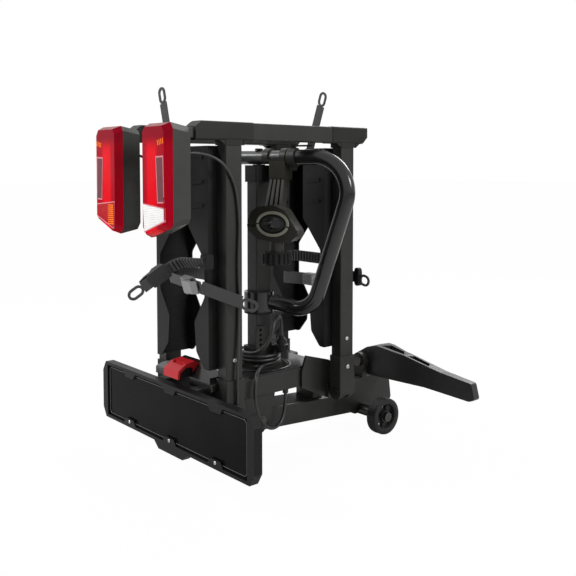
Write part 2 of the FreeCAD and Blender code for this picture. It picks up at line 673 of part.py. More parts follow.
def clamp_collar():
    """The split collar that carries the clamp on the bar, with its arm."""
    x0, x1 = CLAMP_FROM, CLAMP_TO
    at = V(0, 0, HOOP_TOP_Z)
    radius = BAR_D / 2 + RUN_GAP
    ring = cyl(radius + 5, at + X * x0, at + X * x1)
    block = soft_box(CLAMP_BLOCK, x1, -18, 18, HOOP_TOP_Z - 49, HOOP_TOP_Z - 6, X, 4.0)
    waist = box(x0 + 14, x1 - 14, -40, 40, HOOP_TOP_Z - 4, HOOP_TOP_Z + 60)
    over_cap = box(x0 - 1, CLAMP_BLOCK, -30, 30, HOOP_TOP_Z - 40, HOOP_TOP_Z - 9)
    body = joined([ring.cut(waist).cut(over_cap), block])
    pieces = [body]
    top_z, low_z = HOOP_TOP_Z - 44, JAW_Z + 22
    out = -CLAMP_OUT
    for number in range(4):
        top_x = CLAMP_BLOCK + 1 + number * 9.5
        low_x = JAW_X - 26 + number * 12.0
        pieces.append(blade(top_x, 6.0, -14, 10, top_z, low_x, 7.0, out - 9, out + 9, low_z))
    pieces.append(upper_jaw())
    whole = joined(pieces)
    return whole.cut(cyl(radius, at + X * (x0 - 1), at + X * (x1 + 1)))


def blade(top_x, top_w, top_y0, top_y1, top_z, low_x, low_w, low_y0, low_y1, low_z):
    """One blade of the arm, between a rectangle above and one below."""
    rings = []
    for x, w, y0, y1, z in ((top_x, top_w, top_y0, top_y1, top_z),
                            (low_x, low_w, low_y0, low_y1, low_z)):
        corners = [V(x, y0, z), V(x + w, y0, z), V(x + w, y1, z), V(x, y1, z)]
        rings.append(Part.makePolygon(corners + [corners[0]]))
    return Part.makeLoft(rings, True, True)


def ellipse_prism(width, height, y0, y1):
    """An upright elliptic disc at the jaws' middle."""
    curve = Part.Ellipse(V(0, 0, 0), width / 2, height / 2)
    face = Part.Face(Part.Wire(curve.toShape()))
    disc = face.extrude(V(0, 0, y1 - y0))
    disc.rotate(V(0, 0, 0), X, 90)
    disc.translate(V(JAW_X, y1, JAW_Z))
    return disc


def split(above):
    """The region above or below the line where the jaws meet."""
    near, far = JAW_HINGE_Z - 8, JAW_Z - 20
    line = [V(JAW_X - 90, -200, near + 4), V(JAW_X - 20, -200, JAW_Z - 2), V(JAW_X + 20, -200, JAW_Z - 2),
            V(JAW_X + 90, -200, far)]
    way = 1 if above else -1
    far_z = JAW_Z + way * 90
    corners = [p + V(0, 0, way * FIT_GAP / 2) for p in line]
    corners.extend([V(JAW_X + 90, -200, far_z), V(JAW_X - 90, -200, far_z)])
    return prism(corners, V(0, 300, 0))


def jaw_body():
    """The almond outline of both jaws together, pierced by the mouth."""
    y0, y1 = -CLAMP_OUT - JAW_T / 2, -CLAMP_OUT + JAW_T / 2
    outline = [V(-62, 0, -3), V(-53, 0, 25), V(-36, 0, 36), V(2, 0, 40), V(28, 0, 30), V(58, 0, -13),
               V(58, 0, -23), V(42, 0, -36), V(12, 0, -40), V(-36, 0, -33), V(-60, 0, -15)]
    body = soft_prism([p + V(JAW_X, y0, JAW_Z) for p in outline], V(0, JAW_T, 0), 7.0)
    return body.cut(ellipse_prism(MOUTH_W, MOUTH_H, y0 - 1, y1 + 1))


def knuckle(radius, y0, y1):
    """A round knuckle on the jaws' hinge."""
    at = V(JAW_HINGE_X, -CLAMP_OUT, JAW_HINGE_Z)
    return cyl(radius, at + Y * y0, at + Y * y1)


def upper_jaw():
    """The jaw on the arm, with the outer two hinge knuckles."""
    body = jaw_body().common(split(True)).cut(knuckle(11.5, -7, 7))
    for y0, y1 in ((-JAW_T / 2, -6.5), (6.5, JAW_T / 2)):
        body = body.fuse(knuckle(9.0, y0, y1))
    return body.removeSplitter().cut(knuckle(JAW_PIN_D / 2, -40, 40))


def lower_jaw():
    """The moving jaw, with the middle knuckle and the neck for the screw."""
    body = jaw_body().common(split(False))
    for y0, y1 in ((-JAW_T, -6.0), (6.0, JAW_T)):
        body = body.cut(knuckle(11.5, y0, y1))
    body = body.fuse(knuckle(9.0, -6.0, 6.0))
    neck_x = JAW_X + 2
    low = JAW_Z - 60
    neck = cyl(NECK_D / 2, V(neck_x, -CLAMP_OUT, low), V(neck_x, -CLAMP_OUT, JAW_Z - 32))
    body = joined([body, neck])
    screw = cyl(JAW_SCREW_D / 2 + RUN_GAP, V(neck_x, -CLAMP_OUT, low - 1),
                V(neck_x, -CLAMP_OUT, low + 18))
    return body.cut(screw).cut(knuckle(JAW_PIN_D / 2 + RUN_GAP, -40, 40))


def jaw_pin():
    """The pin of the jaws' hinge."""
    return knuckle(JAW_PIN_D / 2, -JAW_T / 2, JAW_T / 2)


def liner(above):
    """Half of the soft liner, with its row of teeth round the grip."""
    y0, y1 = -CLAMP_OUT - LINER_T / 2, -CLAMP_OUT + LINER_T / 2
    ring = ellipse_prism(MOUTH_W, MOUTH_H, y0, y1).cut(ellipse_prism(GRIP_W, GRIP_H, y0 - 1, y1 + 1))
    half = ring.common(split(above))
    way = 1 if above else -1
    for number in range(GRIP_TEETH):
        angle = math.radians(20 + 140.0 * number / (GRIP_TEETH - 1))
        x = JAW_X + (GRIP_W / 2 + 1) * math.cos(angle)
        z = JAW_Z + way * (GRIP_H / 2 + 1) * math.sin(angle)
        tip_x, tip_z = x - 4.5 * math.cos(angle), z - way * 4.5 * math.sin(angle)
        side_x, side_z = -2.2 * math.sin(angle), way * 2.2 * math.cos(angle)
        tooth = prism([V(x + side_x, y0 + 3, z + side_z), V(tip_x, y0 + 3, tip_z),
                       V(x - side_x, y0 + 3, z - side_z)], V(0, LINER_T - 6, 0))
        half = half.fuse(tooth.common(split(above)))
    return half.removeSplitter()


def clamp_knob():
    """The ribbed knob and its screw."""
    x, low = JAW_X + 2, JAW_Z - 60 - KNOB_H
    body = cyl(KNOB_D / 2 - 2, V(x, -CLAMP_OUT, low), V(x, -CLAMP_OUT, low + KNOB_H - FIT_GAP))
    for number in range(KNOB_RIBS):
        angle = 2 * math.pi * number / KNOB_RIBS
        at = V(x + (KNOB_D / 2 - 2) * math.cos(angle),
               -CLAMP_OUT + (KNOB_D / 2 - 2) * math.sin(angle), low + 3)
        body = body.fuse(cyl(4.0, at, at + Z * (KNOB_H - FIT_GAP - 6)))
    screw = cyl(JAW_SCREW_D / 2, V(x, -CLAMP_OUT, low + 5), V(x, -CLAMP_OUT, low + KNOB_H + 17))
    return joined([body, screw])


def column_cap():
    """The cap on top of the column, with the boss and the bolt that the bar turns on."""
    half_w, half_d = COLUMN_W / 2, COLUMN_D / 2
    body = soft_box(-half_w - 4, half_w + 4, COLUMN_Y - half_d - 4, COLUMN_Y + half_d + 4,
                    COLUMN_TOP_Z - 34, COLUMN_TOP_Z + 3, Z, 4.0)
    column_room = box(-half_w, half_w, COLUMN_Y - half_d, COLUMN_Y + half_d, 0, COLUMN_TOP_Z)
    boss_z = HOOP_TOP_Z - BAR_D / 2 - FIT_GAP
    boss = cyl(14.0, V(0, COLUMN_Y, COLUMN_TOP_Z + 2), V(0, COLUMN_Y, boss_z))
    top = HOOP_TOP_Z + BAR_D / 2 + FIT_GAP
    bolt = cyl(SWIVEL_BOLT_D / 2, V(0, COLUMN_Y, boss_z - 5), V(0, COLUMN_Y, top + 2))
    head = cyl(9.0, V(0, COLUMN_Y, top), V(0, COLUMN_Y, top + 5))
    head = rounded(head, 2.5, lambda e: e.CenterOfMass.z > top + 4.9)
    return joined([joined([body, boss]).cut(column_room), bolt, head])


def board_outline(grow, y):
    """The board's eight-sided outline, grown or shrunk by grow."""
    half = PLATE_W / 2 + BOARD_RIM + grow
    low, high = BOARD_LOW_Z - grow, board_top_z + grow
    slant = BOARD_SLANT
    return [V(-half + slant, y, low), V(half - slant, y, low), V(half, y, low + BOARD_CORNER),
            V(half, y, high - BOARD_CORNER), V(half - slant, y, high), V(-half + slant, y, high),
            V(-half, y, high - BOARD_CORNER), V(-half, y, low + BOARD_CORNER)]


def tab_outline(x, z, way, y):
    """A plate-retaining tab with sloping sides."""
    return [V(x - 26, y, z), V(x - 16, y, z + way * 13), V(x + 16, y, z + way * 13), V(x + 26, y, z)]


def board_frame():
    """The moulded plate holder with its rim, tabs and rear ribs."""
    y0, y1 = BOARD_FRONT_Y, BOARD_FRONT_Y + BOARD_T
    body = prism(board_outline(0, y0), V(0, BOARD_T, 0))
    body = rounded(body, 3.0, lambda e: along(e, Y))
    well = box(-PLATE_W / 2 - 3, PLATE_W / 2 + 3, y0 - 1, y0 + SHEET_DEPTH + SHEET_T,
               sheet_low_z - 3, sheet_low_z + PLATE_H + 3)
    back = prism(board_outline(-3, y0 + SHEET_DEPTH + SHEET_T + 3), V(0, BOARD_T, 0))
    body = body.cut(well).cut(back)
    pieces = [body]
    for x in (-TAB_PITCH, 0, TAB_PITCH):
        tab_t = V(0, SHEET_DEPTH - PLATE_ROOM, 0)
        top = prism(tab_outline(x, sheet_low_z + PLATE_H + 4, -1, y0), tab_t)
        low = prism(tab_outline(x, sheet_low_z - 4, 1, y0), tab_t)
        pieces.extend([top, low])
    bump = prism([V(-66, y0 + 2, BOARD_LOW_Z + 1), V(-46, y0 + 2, BOARD_LOW_Z - 16),
                  V(46, y0 + 2, BOARD_LOW_Z - 16), V(66, y0 + 2, BOARD_LOW_Z + 1)], V(0, BOARD_T - 2, 0))
    pieces.append(bump)
    for side in (-1, 1):
        x = side * (rail_inner_x + RAIL_W / 2)
        pieces.append(box(x - RAIL_W / 2 + 2, x + RAIL_W / 2 - 2, y0 + SHEET_DEPTH + SHEET_T + 2, y1,
                          rail_low_z + 2, board_top_z - 2))
    for x in (-180, -110, 110, 180):
        pieces.append(box(x - 1.5, x + 1.5, y0 + SHEET_DEPTH + SHEET_T + 2, y1 - 2,
                          BOARD_LOW_Z + 2, board_top_z - 2))
    return joined(pieces)


def board_sheet():
    """The plain sheet where a number plate goes."""
    y0 = BOARD_FRONT_Y + SHEET_DEPTH
    return soft_box(-PLATE_W / 2, PLATE_W / 2, y0, y0 + SHEET_T,
                    sheet_low_z, sheet_low_z + PLATE_H, Y, 8.0)


def tray_outline(y):
    """The side of a wheel tray: deep cup, shallow neck, flare and tip."""
    x = post_inner_x

    def at(depth, z):
        return V(x - depth, y, z)
    return [V(x, y, TRAY_LOW_Z), at(TIP_DEPTH, TRAY_LOW_Z),
            at(FLARE_DEPTH - 6, FLARE_LOW_Z), at(FLARE_DEPTH, FLARE_TOP_Z), at(NECK_DEPTH, NECK_LOW_Z),
            at(NECK_DEPTH, NECK_TOP_Z), at(CUP_DEPTH, cup_low_z), at(CUP_DEPTH, cup_top_z),
            V(x, y, cup_top_z)]


def tray(centre_y):
    """A moulded wheel tray on the inner face of a right-hand post."""
    y0, y1 = centre_y - TRAY_W / 2, centre_y + TRAY_W / 2
    outer = prism(tray_outline(y0), V(0, TRAY_W, 0))

    def corner(edge):
        return along(edge, Y) and edge.CenterOfMass.x < post_inner_x - 5
    outer = rounded(outer, 12.0, corner)
    room = box(0, post_inner_x - TRAY_FLOOR, y0 + TRAY_WALL, y1 - TRAY_WALL,
               TRAY_LOW_Z - 20, cup_top_z - TRAY_WALL)
    body = outer.cut(room)
    pieces = [body]
    for number, z in enumerate((cup_top_z - 26, cup_top_z - 74, cup_top_z - 122)):
        rise = (6, -5, -6)[number]
        x_out, x_in = post_inner_x - CUP_DEPTH + 6, post_inner_x - 16
        for y, way in ((y0, -1), (y1, 1)):
            rib = prism([V(x_out, y - way * 1, z + rise), V(x_in, y - way * 1, z),
                         V(x_in, y - way * 1, z + 7), V(x_out, y - way * 1, z + rise + 7)],
                        V(0, way * 3.0, 0))
            pieces.append(rib)
    for number in range(8):
        z = TRAY_LOW_Z + 24 + number * 46
        pieces.append(box(post_inner_x - TRAY_FLOOR - 1.5, post_inner_x - TRAY_FLOOR + 1,
                          y0 + TRAY_WALL - 1, y1 - TRAY_WALL + 1, z, z + 5))
    return joined(pieces)


def post(centre_y):
    """A wing post: a rectangular tube from its foot into the beam's corner."""
    half = POST_D / 2
    return square_tube(post_inner_x, post_outer_x, centre_y - half, centre_y + half,
                       socket_z, BEAM_TOP_Z - 8, Z, POST_WALL)


def foot(centre_y):
    """The cast foot that turns on the crossmember's tongue."""
    half = foot_half_y
    body = soft_box(foot_inner_x, foot_outer_x, centre_y - half, centre_y + half,
                    HINGE_Z, FOOT_TOP_Z, Z, 3.0)
    eye = V(POST_X, centre_y - half, HINGE_Z)
    body = joined([body, cyl(hinge_r, eye, eye + V(0, 2 * half, 0))])
    slot_half = TONGUE_T / 2 + WIDE_GAP
    reach = TONGUE_R + WIDE_GAP
    slot_side = box(foot_inner_x - 1, POST_X + reach, centre_y - slot_half, centre_y + slot_half,
                    HINGE_Z - reach, HINGE_Z + reach)
    slot_low = box(POST_X - reach, POST_X + reach, centre_y - slot_half, centre_y + slot_half,
                   HINGE_Z - hinge_r - 1, HINGE_Z + reach)
    socket = box(post_inner_x, post_outer_x, centre_y - POST_D / 2, centre_y + POST_D / 2,
                 socket_z, FOOT_TOP_Z + 1)
    pin = cyl(HINGE_PIN_D / 2 + RUN_GAP, eye - V(0, 5, 0), eye + V(0, 2 * half + 5, 0))
    return body.cut(slot_side).cut(slot_low).cut(socket).cut(pin)


def rear_foot():
    """The rear foot, with the grommet block that the lamp's cable runs into."""
    grommet = soft_box(foot_outer_x - 1, foot_outer_x + GROMMET_W - 3, REAR_POST_Y - GROMMET_W / 2,
                       REAR_POST_Y + GROMMET_W / 2, HINGE_Z + 8, GROMMET_TOP_Z, Z, 2.0)
    return joined([foot(REAR_POST_Y), grommet])


def hinge_pin(side, centre_y):
    """A hinge pin with a low round head at each end."""
    at = V(side * POST_X, centre_y, HINGE_Z)
    half = foot_half_y
    rod = cyl(HINGE_PIN_D / 2, at - Y * (half + 3), at + Y * (half + 3))
    head_rear = cyl(8.0, at - Y * (half + 3), at - Y * (half + FIT_GAP))
    head_front = cyl(8.0, at + Y * (half + FIT_GAP), at + Y * (half + 3))
    return joined([rod, head_rear, head_front])


def beam():
    """The extruded middle of the end beam, between the corner castings."""
    x0, x1 = POST_X - BEAM_W / 2, POST_X + BEAM_W / 2
    y0 = REAR_POST_Y + POST_D / 2 + CORNER_SIDE
    y1 = FRONT_POST_Y - POST_D / 2 - CORNER_SIDE
    return square_tube(x0 + 1, x1 - 1, y0, y1, beam_low_z + 1, BEAM_TOP_Z - 1, Y, BEAM_WALL)


def beam_corner(centre_y, y0, y1):
    """A corner casting of the end beam with a ribbed socket for the post."""
    x0, x1 = POST_X - BEAM_W / 2, POST_X + BEAM_W / 2
    body = soft_box(x0, x1, y0, y1, beam_low_z, BEAM_TOP_Z, Y, 4.0)
    half = POST_D / 2
    socket = soft_box(post_inner_x - 3, post_outer_x + 3, centre_y - half - 3, centre_y + half + 3,
                      beam_low_z - 9, beam_low_z + 2, Z, 3.0)
    pieces = [body, socket]
    for side in (-1, 1):
        y = centre_y + side * (half + 3)
        rib = prism([V(post_outer_x - 6, y, beam_low_z + 1),
                     V(post_outer_x - 6, y + side * 14, beam_low_z + 1),
                     V(post_outer_x - 6, y, beam_low_z - 9)], V(9, 0, 0))
        pieces.append(rib)
    whole = joined(pieces)
    room = box(post_inner_x, post_outer_x, centre_y - half, centre_y + half,
               beam_low_z - 20, BEAM_TOP_Z - 8)
    return whole.cut(room)


def beam_corners():
    """Rear and front corner castings of the right wing."""
    rear = beam_corner(REAR_POST_Y, BEAM_REAR_Y, REAR_POST_Y + POST_D / 2 + CORNER_SIDE)
    nose = prism([V(0, BEAM_REAR_Y - 1, BEAM_TOP_Z - 12), V(0, BEAM_REAR_Y - 1, BEAM_TOP_Z + 1),
                  V(0, BEAM_REAR_Y + 16, BEAM_TOP_Z + 1)], V(200, 0, 0))
    front = beam_corner(FRONT_POST_Y, FRONT_POST_Y - POST_D / 2 - CORNER_SIDE, BEAM_FRONT_Y)
    chin = prism([V(0, BEAM_FRONT_Y + 1, beam_low_z - 1), V(0, BEAM_FRONT_Y + 1, beam_low_z + 16),
                  V(0, BEAM_FRONT_Y - 16, beam_low_z - 1)], V(200, 0, 0))
    return [rear.cut(nose), front.cut(chin)]


def lamp_outline(shrink, y):
    """The lamp seen from behind: its lower edge rises towards the outside."""
    x0, x1 = LAMP_INNER_X + shrink, LAMP_INNER_X + LAMP_W - shrink
    low, high = LAMP_LOW_Z + shrink, LAMP_TOP_Z - shrink
    return [V(x0, y, low + 14), V(x0 + 12, y, low), V(x1 - 6, y, low + LAMP_SLOPE - 4),
            V(x1, y, low + LAMP_SLOPE + 6), V(x1, y, high - 12), V(x1 - 8, y, high),
            V(x0 + 8, y, high), V(x0, y, high - 10)]


def lamp_body(shrink_front, shrink_back, y0, y1):
    """A tapered solid between two lamp outlines."""
    front = Part.makePolygon(lamp_outline(shrink_front, y0) + [lamp_outline(shrink_front, y0)[0]])
    back = Part.makePolygon(lamp_outline(shrink_back, y1) + [lamp_outline(shrink_back, y1)[0]])
    return Part.makeLoft([front, back], True, True)


def lamp_lens():
    """The clear cover: a shell, open at its back."""
    y0, y1 = LAMP_FRONT_Y, LAMP_FRONT_Y + LENS_DEPTH
    outer = lamp_body(LENS_TAPER, 0, y0, y1)
    inner = lamp_body(LENS_TAPER + LENS_WALL, LENS_WALL, y0 + LENS_WALL, y1 + 0.01)
    return outer.cut(inner)


def lamp_housing():
    """The dark back shell, with the arm that plugs into the beam's corner."""
    y0 = LAMP_FRONT_Y + LENS_DEPTH
    y1 = y0 + HOUSING_DEPTH
    outer = lamp_body(0, 7, y0, y1)
    inner = lamp_body(LENS_WALL, 7 + LENS_WALL, y0 - 0.01, y1 - 3)
    arm = soft_box(POST_X - BEAM_W / 2 + 3, POST_X + BEAM_W / 2 - 6, y1 - 3, BEAM_REAR_Y,
                   beam_low_z + 3, BEAM_TOP_Z - 14, Y, 3.0)
    gland = cyl(GLAND_D / 2, V(LAMP_GLAND_X, y1 - 2, LAMP_GLAND_Z),
                V(LAMP_GLAND_X, y1 + LAMP_GLAND_L, LAMP_GLAND_Z))
    return joined([outer.cut(inner), arm, gland])


def pedal_housing():
    """The moulded cover behind the board that holds the foot pedal."""
    half = PEDAL_HOUSING_W / 2
    low, high = rail_top_z, PEDAL_HOUSING_TOP_Z
    front, rear = PEDAL_AXIS_Y + 22, BOARD_FRONT_Y + BOARD_T + 14
    face = [V(-half, 0, low), V(-half, 0, low + 14), V(-half + 14, 0, low + 24), V(-46, 0, high - 6),
            V(-34, 0, high), V(34, 0, high), V(46, 0, high - 6), V(half - 14, 0, low + 24),
            V(half, 0, low + 14), V(half, 0, low)]
    body = prism([p + V(0, rear, 0) for p in face], V(0, front - rear, 0))
    side = [V(-200, rear - 1, low - 1), V(-200, rear - 1, low + 16), V(-200, rear + 30, high + 1),
            V(-200, front - 10, high + 1), V(-200, front + 1, high - 12), V(-200, front + 1, low - 1)]
    body = body.common(prism(side, V(400, 0, 0)))
    body = rounded(body, 5.0, lambda e: along(e, Y) and e.CenterOfMass.z > low + 8)
    slot = box(-PEDAL_W / 2 - WIDE_GAP, PEDAL_W / 2 + WIDE_GAP, rear - 5, PEDAL_AXIS_Y + 9,
               low - 1, high + 5)
    under = box(-half + 4, half - 4, rear + 4, front - 4, low - 1, low + 10)
    for side in (-1, 1):
        x0, x1 = sorted((side * PEDAL_HOUSING_WAIST / 2, side * (half + 1)))
        body = body.cut(box(x0, x1, REAR_POST_Y - foot_half_y - 2, 0, low - 1, high + 1))
    reach = PEDAL_W / 2 + PEDAL_TRUNNION + WIDE_GAP
    bearing = cyl(PEDAL_PIN_D / 2 + RUN_GAP, V(-reach, PEDAL_AXIS_Y, PEDAL_AXIS_Z),
                  V(reach, PEDAL_AXIS_Y, PEDAL_AXIS_Z))
    return body.cut(slot).cut(under).cut(bearing)


def pedal():
    """The foot pedal: a hooded plate with a lip towards the rear."""
    y, z = PEDAL_AXIS_Y, PEDAL_AXIS_Z
    side = [V(0, 7, -7), V(0, 7, 16), V(0, -4, 21), V(0, -26, 17), V(0, -44, 6), V(0, -47, -12),
            V(0, -42, -12), V(0, -39, 1), V(0, -24, 11), V(0, -8, 8), V(0, -8, -7)]
    body = soft_prism([p + V(-PEDAL_W / 2, y, z) for p in side], V(PEDAL_W, 0, 0), 1.5)
    groove = box(-PEDAL_W / 2 + 8, PEDAL_W / 2 - 8, y - 30, y - 22, z + 14.5, z + 30)
    reach = PEDAL_W / 2 + PEDAL_TRUNNION
    trunnions = cyl(PEDAL_PIN_D / 2, V(-reach, y, z), V(reach, y, z))
    return joined([body.cut(groove), trunnions])


def placed(shape, origin, heading, up):
    """Puts a piece drawn along X, with its width along Z, at a place and heading."""
    x = V(heading).normalize()
    z = V(up) - x * up.dot(x)
    z.normalize()
    y = z.cross(x)
    matrix = FreeCAD.Matrix(x.x, y.x, z.x, origin.x, x.y, y.y, z.y, origin.y,
                            x.z, y.z, z.z, origin.z, 0, 0, 0, 1)
    moved = shape.copy()
    moved.Placement = FreeCAD.Placement(matrix)
    return moved


def band(points, radii, up):
    """A flat strap along a bent route in the plane square to up."""
    route = bent_route(points, radii)
    first = route.OrderedEdges[0]
    start = first.valueAt(first.FirstParameter)
    heading = first.tangentAt(first.FirstParameter)
    wide = V(up).normalize() * (STRAP_W / 2)
    thick = wide.cross(heading).normalize() * (STRAP_T / 2)
    ring = Part.makePolygon([start - wide - thick, start + wide - thick, start + wide + thick,
                             start - wide + thick, start - wide - thick])
    return route.makePipeShell([ring], True, False)


def strap_tail(length):
    """A straight strap end with a rounded tip and a finger slot, drawn along X."""
    half = STRAP_W / 2
    body = box(0, length, -STRAP_T / 2, STRAP_T / 2, -half, half)
    body = rounded(body, half - 0.5, lambda e: along(e, Y) and e.CenterOfMass.x > length - 1)
    slot = box(length - TAIL_SLOT_L - 6, length - 6, -5, 5, -TAIL_SLOT_W / 2, TAIL_SLOT_W / 2)
    slot = rounded(slot, TAIL_SLOT_W / 2 - 0.3, lambda e: along(e, Y))
    return body.cut(slot)


def strap_teeth(start, run, up, count):
    """The row of ratchet teeth on a straight stretch of strap."""
    heading = (run - start).normalize()
    side = V(up).normalize().cross(heading).normalize()
    teeth = []
    for number in range(count):
        at = start + heading * (number * TOOTH_PITCH)
        tooth = box(0, TOOTH_PITCH * 0.5, STRAP_T / 2 - 0.3, STRAP_T / 2 + 1.3,
                    -STRAP_W / 2 + 4, STRAP_W / 2 - 4)
        teeth.append(placed(tooth, at, heading, up))
    return teeth


def buckle_frame():
    """A ratchet buckle's frame, drawn along X with the strap through it."""
    half = STRAP_W / 2 + 1
    floor = soft_box(-22, 22, -STRAP_T / 2 - 3, -STRAP_T / 2 - 0.3, -half - 2, half + 2, Y, 3.0)
    pieces = [floor]
    for side in (-1, 1):
        z0 = half if side > 0 else -half - 3
        cheek = soft_prism([V(-20, -3, z0), V(-14, 12, z0), V(4, 14, z0), V(14, 5, z0), V(20, -3, z0)],
                           V(0, 0, 3), 2.0)
        pieces.append(cheek)
    pin = cyl(2.5, V(-6, 8, -half - 3), V(-6, 8, half + 3))
    return joined(pieces).fuse(pin).removeSplitter()


def buckle_lever():
    """The ratchet lever that turns on the buckle's pin."""
    half = STRAP_W / 2 + 1 - FIT_GAP
    side = [V(-10, 4, -half), V(-12, 11, -half), V(-4, 16, -half), V(26, 13, -half), V(40, 6, -half),
            V(39, 3.5, -half), V(24, 8, -half), V(4, 5, -half)]
    body = soft_prism(side, V(0, 0, 2 * half), 1.2)
    return body.cut(cyl(2.5 + RUN_GAP, V(-6, 8, -40), V(-6, 8, 40)))


def tooth_line(x, y):
    """A point of the toothed strap's sloping plane."""
    return V(x, y, TOOTH_STRAP_Z + TOOTH_STRAP_FALL * (y - REAR_POST_Y + 50))


def loop_line(x, y):
    """A point of the looping strap's sloping plane."""
    return V(x, y, LOOP_STRAP_Z + LOOP_STRAP_FALL * (y - REAR_POST_Y + 50))


def straps_rear_right():
    """Both straps of the right rear tray: one curls out, one loops back."""
    up_1 = V(0, -TOOTH_STRAP_FALL, 1)
    back_y = REAR_POST_Y - TRAY_W / 2
    p1 = [tooth_line(POST_X - 2, back_y - 14), tooth_line(18, back_y - 20),
          tooth_line(0, back_y - TOOTH_STRAP_OUT)]
    first = band(p1, [40.0], up_1)
    heading = (p1[2] - p1[1]).normalize()
    tail = placed(strap_tail(TOOTH_TAIL_L), p1[2], heading, up_1)
    up_2 = V(0, -LOOP_STRAP_FALL, 1)
    p2 = [loop_line(post_inner_x - TRAY_FLOOR, back_y + 32), loop_line(-52, back_y + 32),
          loop_line(-52, back_y - 1), loop_line(100, back_y - 18)]
    second = band(p2, [15.0, 15.0], up_2)
    tail_2 = placed(strap_tail(LOOP_TAIL_L), p2[3] + V(-4, 0.45, 0), V(0.66, 0.75, -0.2), V(0, 0, 1))
    anchor = soft_box(POST_X - 15, POST_X + 5, back_y - 20, back_y, TOOTH_STRAP_Z - 17,
                      TOOTH_STRAP_Z + 13, Y, 3.0)
    toothed = joined([first, tail, anchor] + strap_teeth(p1[0], p1[1], up_1, 12))
    return [toothed, joined([second, tail_2])]


def buckles_rear_right(piece):
    """A buckle piece on each strap of the right rear tray."""
    back_y = REAR_POST_Y - TRAY_W / 2
    a = tooth_line(4, back_y - TOOTH_STRAP_OUT + 10)
    first = placed(piece, a, V(-18, -46, -46 * TOOTH_STRAP_FALL), V(0, TOOTH_STRAP_FALL, -1))
    b = loop_line(52, back_y - 12.9)
    second = placed(piece, b, V(152, -17, -17 * LOOP_STRAP_FALL), V(0, LOOP_STRAP_FALL, -1))
    return [first, second]


def strap_loop(x, y, z, height, lean):
    """A strap that stands up out of a tray's top, ending in a finger slot."""
    tail = strap_tail(height)
    return placed(tail, V(x, y, z), V(lean, 0, 1), V(1, 0, 0))


def strap_rear_left():
    """The left rear tray's strap, standing up behind the tray."""
    back_y = REAR_POST_Y - TRAY_W / 2
    tail = strap_loop(-26, back_y - STRAP_T / 2 - 3.4, cup_top_z - 23, 154, -0.27)
    seat = box(-37, -29, back_y - 3.4, back_y, cup_top_z - 10, cup_top_z - 3)
    return joined([tail, seat])


def strap_front_left():
    """The left front tray's strap, standing up in front of its cup."""
    wall_y = FRONT_POST_Y + TRAY_W / 2
    tail = strap_loop(-72, wall_y + 3.4 + STRAP_T / 2, cup_top_z - 61, 210, 0.37)
    seat = box(-72, -62, wall_y, wall_y + 3.4, cup_top_z - 47, cup_top_z - 35)
    return joined([tail, seat])


def biarc(start, start_way, end, end_way):
    """Two tangent arcs between two points with given headings."""
    span = end - start
    both = start_way + end_way
    a = 2 * (start_way.dot(end_way) - 1)
    b = -2 * span.dot(both)
    c = span.dot(span)
    if abs(a) < 1e-9:
        reach = -c / b
    else:
        reach = (-b - math.sqrt(b * b - 4 * a * c)) / (2 * a)
    joint = (start + end) * 0.5 + (start_way - end_way) * (reach / 2)
    joint_way = ((end - end_way * reach) - (start + start_way * reach)).normalize()
    return [arc_from(start, start_way, joint), arc_from(joint, joint_way, end)]


def arc_from(start, way, end):
    """The arc that leaves start along way and ends at end."""
    chord = end - start
    axis = V(chord).normalize()
    bulge = (way - axis * way.dot(axis)).normalize()
    half = math.acos(max(-1.0, min(1.0, way.dot(axis)))) / 2
    middle = (start + end) * 0.5 + bulge * (chord.Length / 2 * math.tan(half))
    return Part.Arc(start, middle, end).toShape()


coil_low_z = deck_top_z + FLANGE_T + CABLE_D / 2 + WIDE_GAP


def coil_point(turn):
    """A point of the coil after so many turns, and the heading there."""
    angle = 2 * math.pi * turn
    point = V(COIL_R * math.cos(angle), COLUMN_Y + COIL_R * math.sin(angle),
              coil_low_z + COIL_PITCH * turn)
    way = V(-math.sin(angle), math.cos(angle), COIL_PITCH / (2 * math.pi * COIL_R)).normalize()
    return point, way


def cable_coil():
    """The spare light cable, coiled on the deck round the column's shoe."""
    edges = []
    quarters = int(COIL_TURNS * 4)
    for number in range(quarters):
        start, start_way = coil_point(number / 4)
        end, end_way = coil_point((number + 1) / 4)
        edges.extend(biarc(start, start_way, end, end_way))
    route = Part.Wire(edges)
    ring = Part.Wire(Part.makeCircle(CABLE_D / 2, coil_point(0)[0], coil_point(0)[1]))
    tube = route.makePipeShell([ring], True, False)
    per_turn = 72
    path = [coil_point(number / per_turn)[0] for number in range(int(COIL_TURNS * per_turn) + 1)]
    least = min((path[i] - path[k]).Length for i in range(len(path))
                for k in range(i + per_turn // 2, len(path)))
    print("coil: least gap to itself", round(least - CABLE_D, 2), "mm")
    return tube


def cord(name, points, diameter):
    """A tube along straight runs joined by the widest tangent arcs that fit."""
    radii = []
    for number in range(1, len(points) - 1):
        back = points[number - 1] - points[number]
        on = points[number + 1] - points[number]
        turn = math.pi - back.getAngle(on)
        radii.append(0.45 * min(back.Length, on.Length) / math.tan(turn / 2))
    tube = pipe(bent_route(points, radii), diameter / 2)
    length = tube.Volume / (math.pi * diameter ** 2 / 4)
    print(name, "least bend", round(min(radii), 1), "mm, length", round(length, 1), "mm")
    return tube


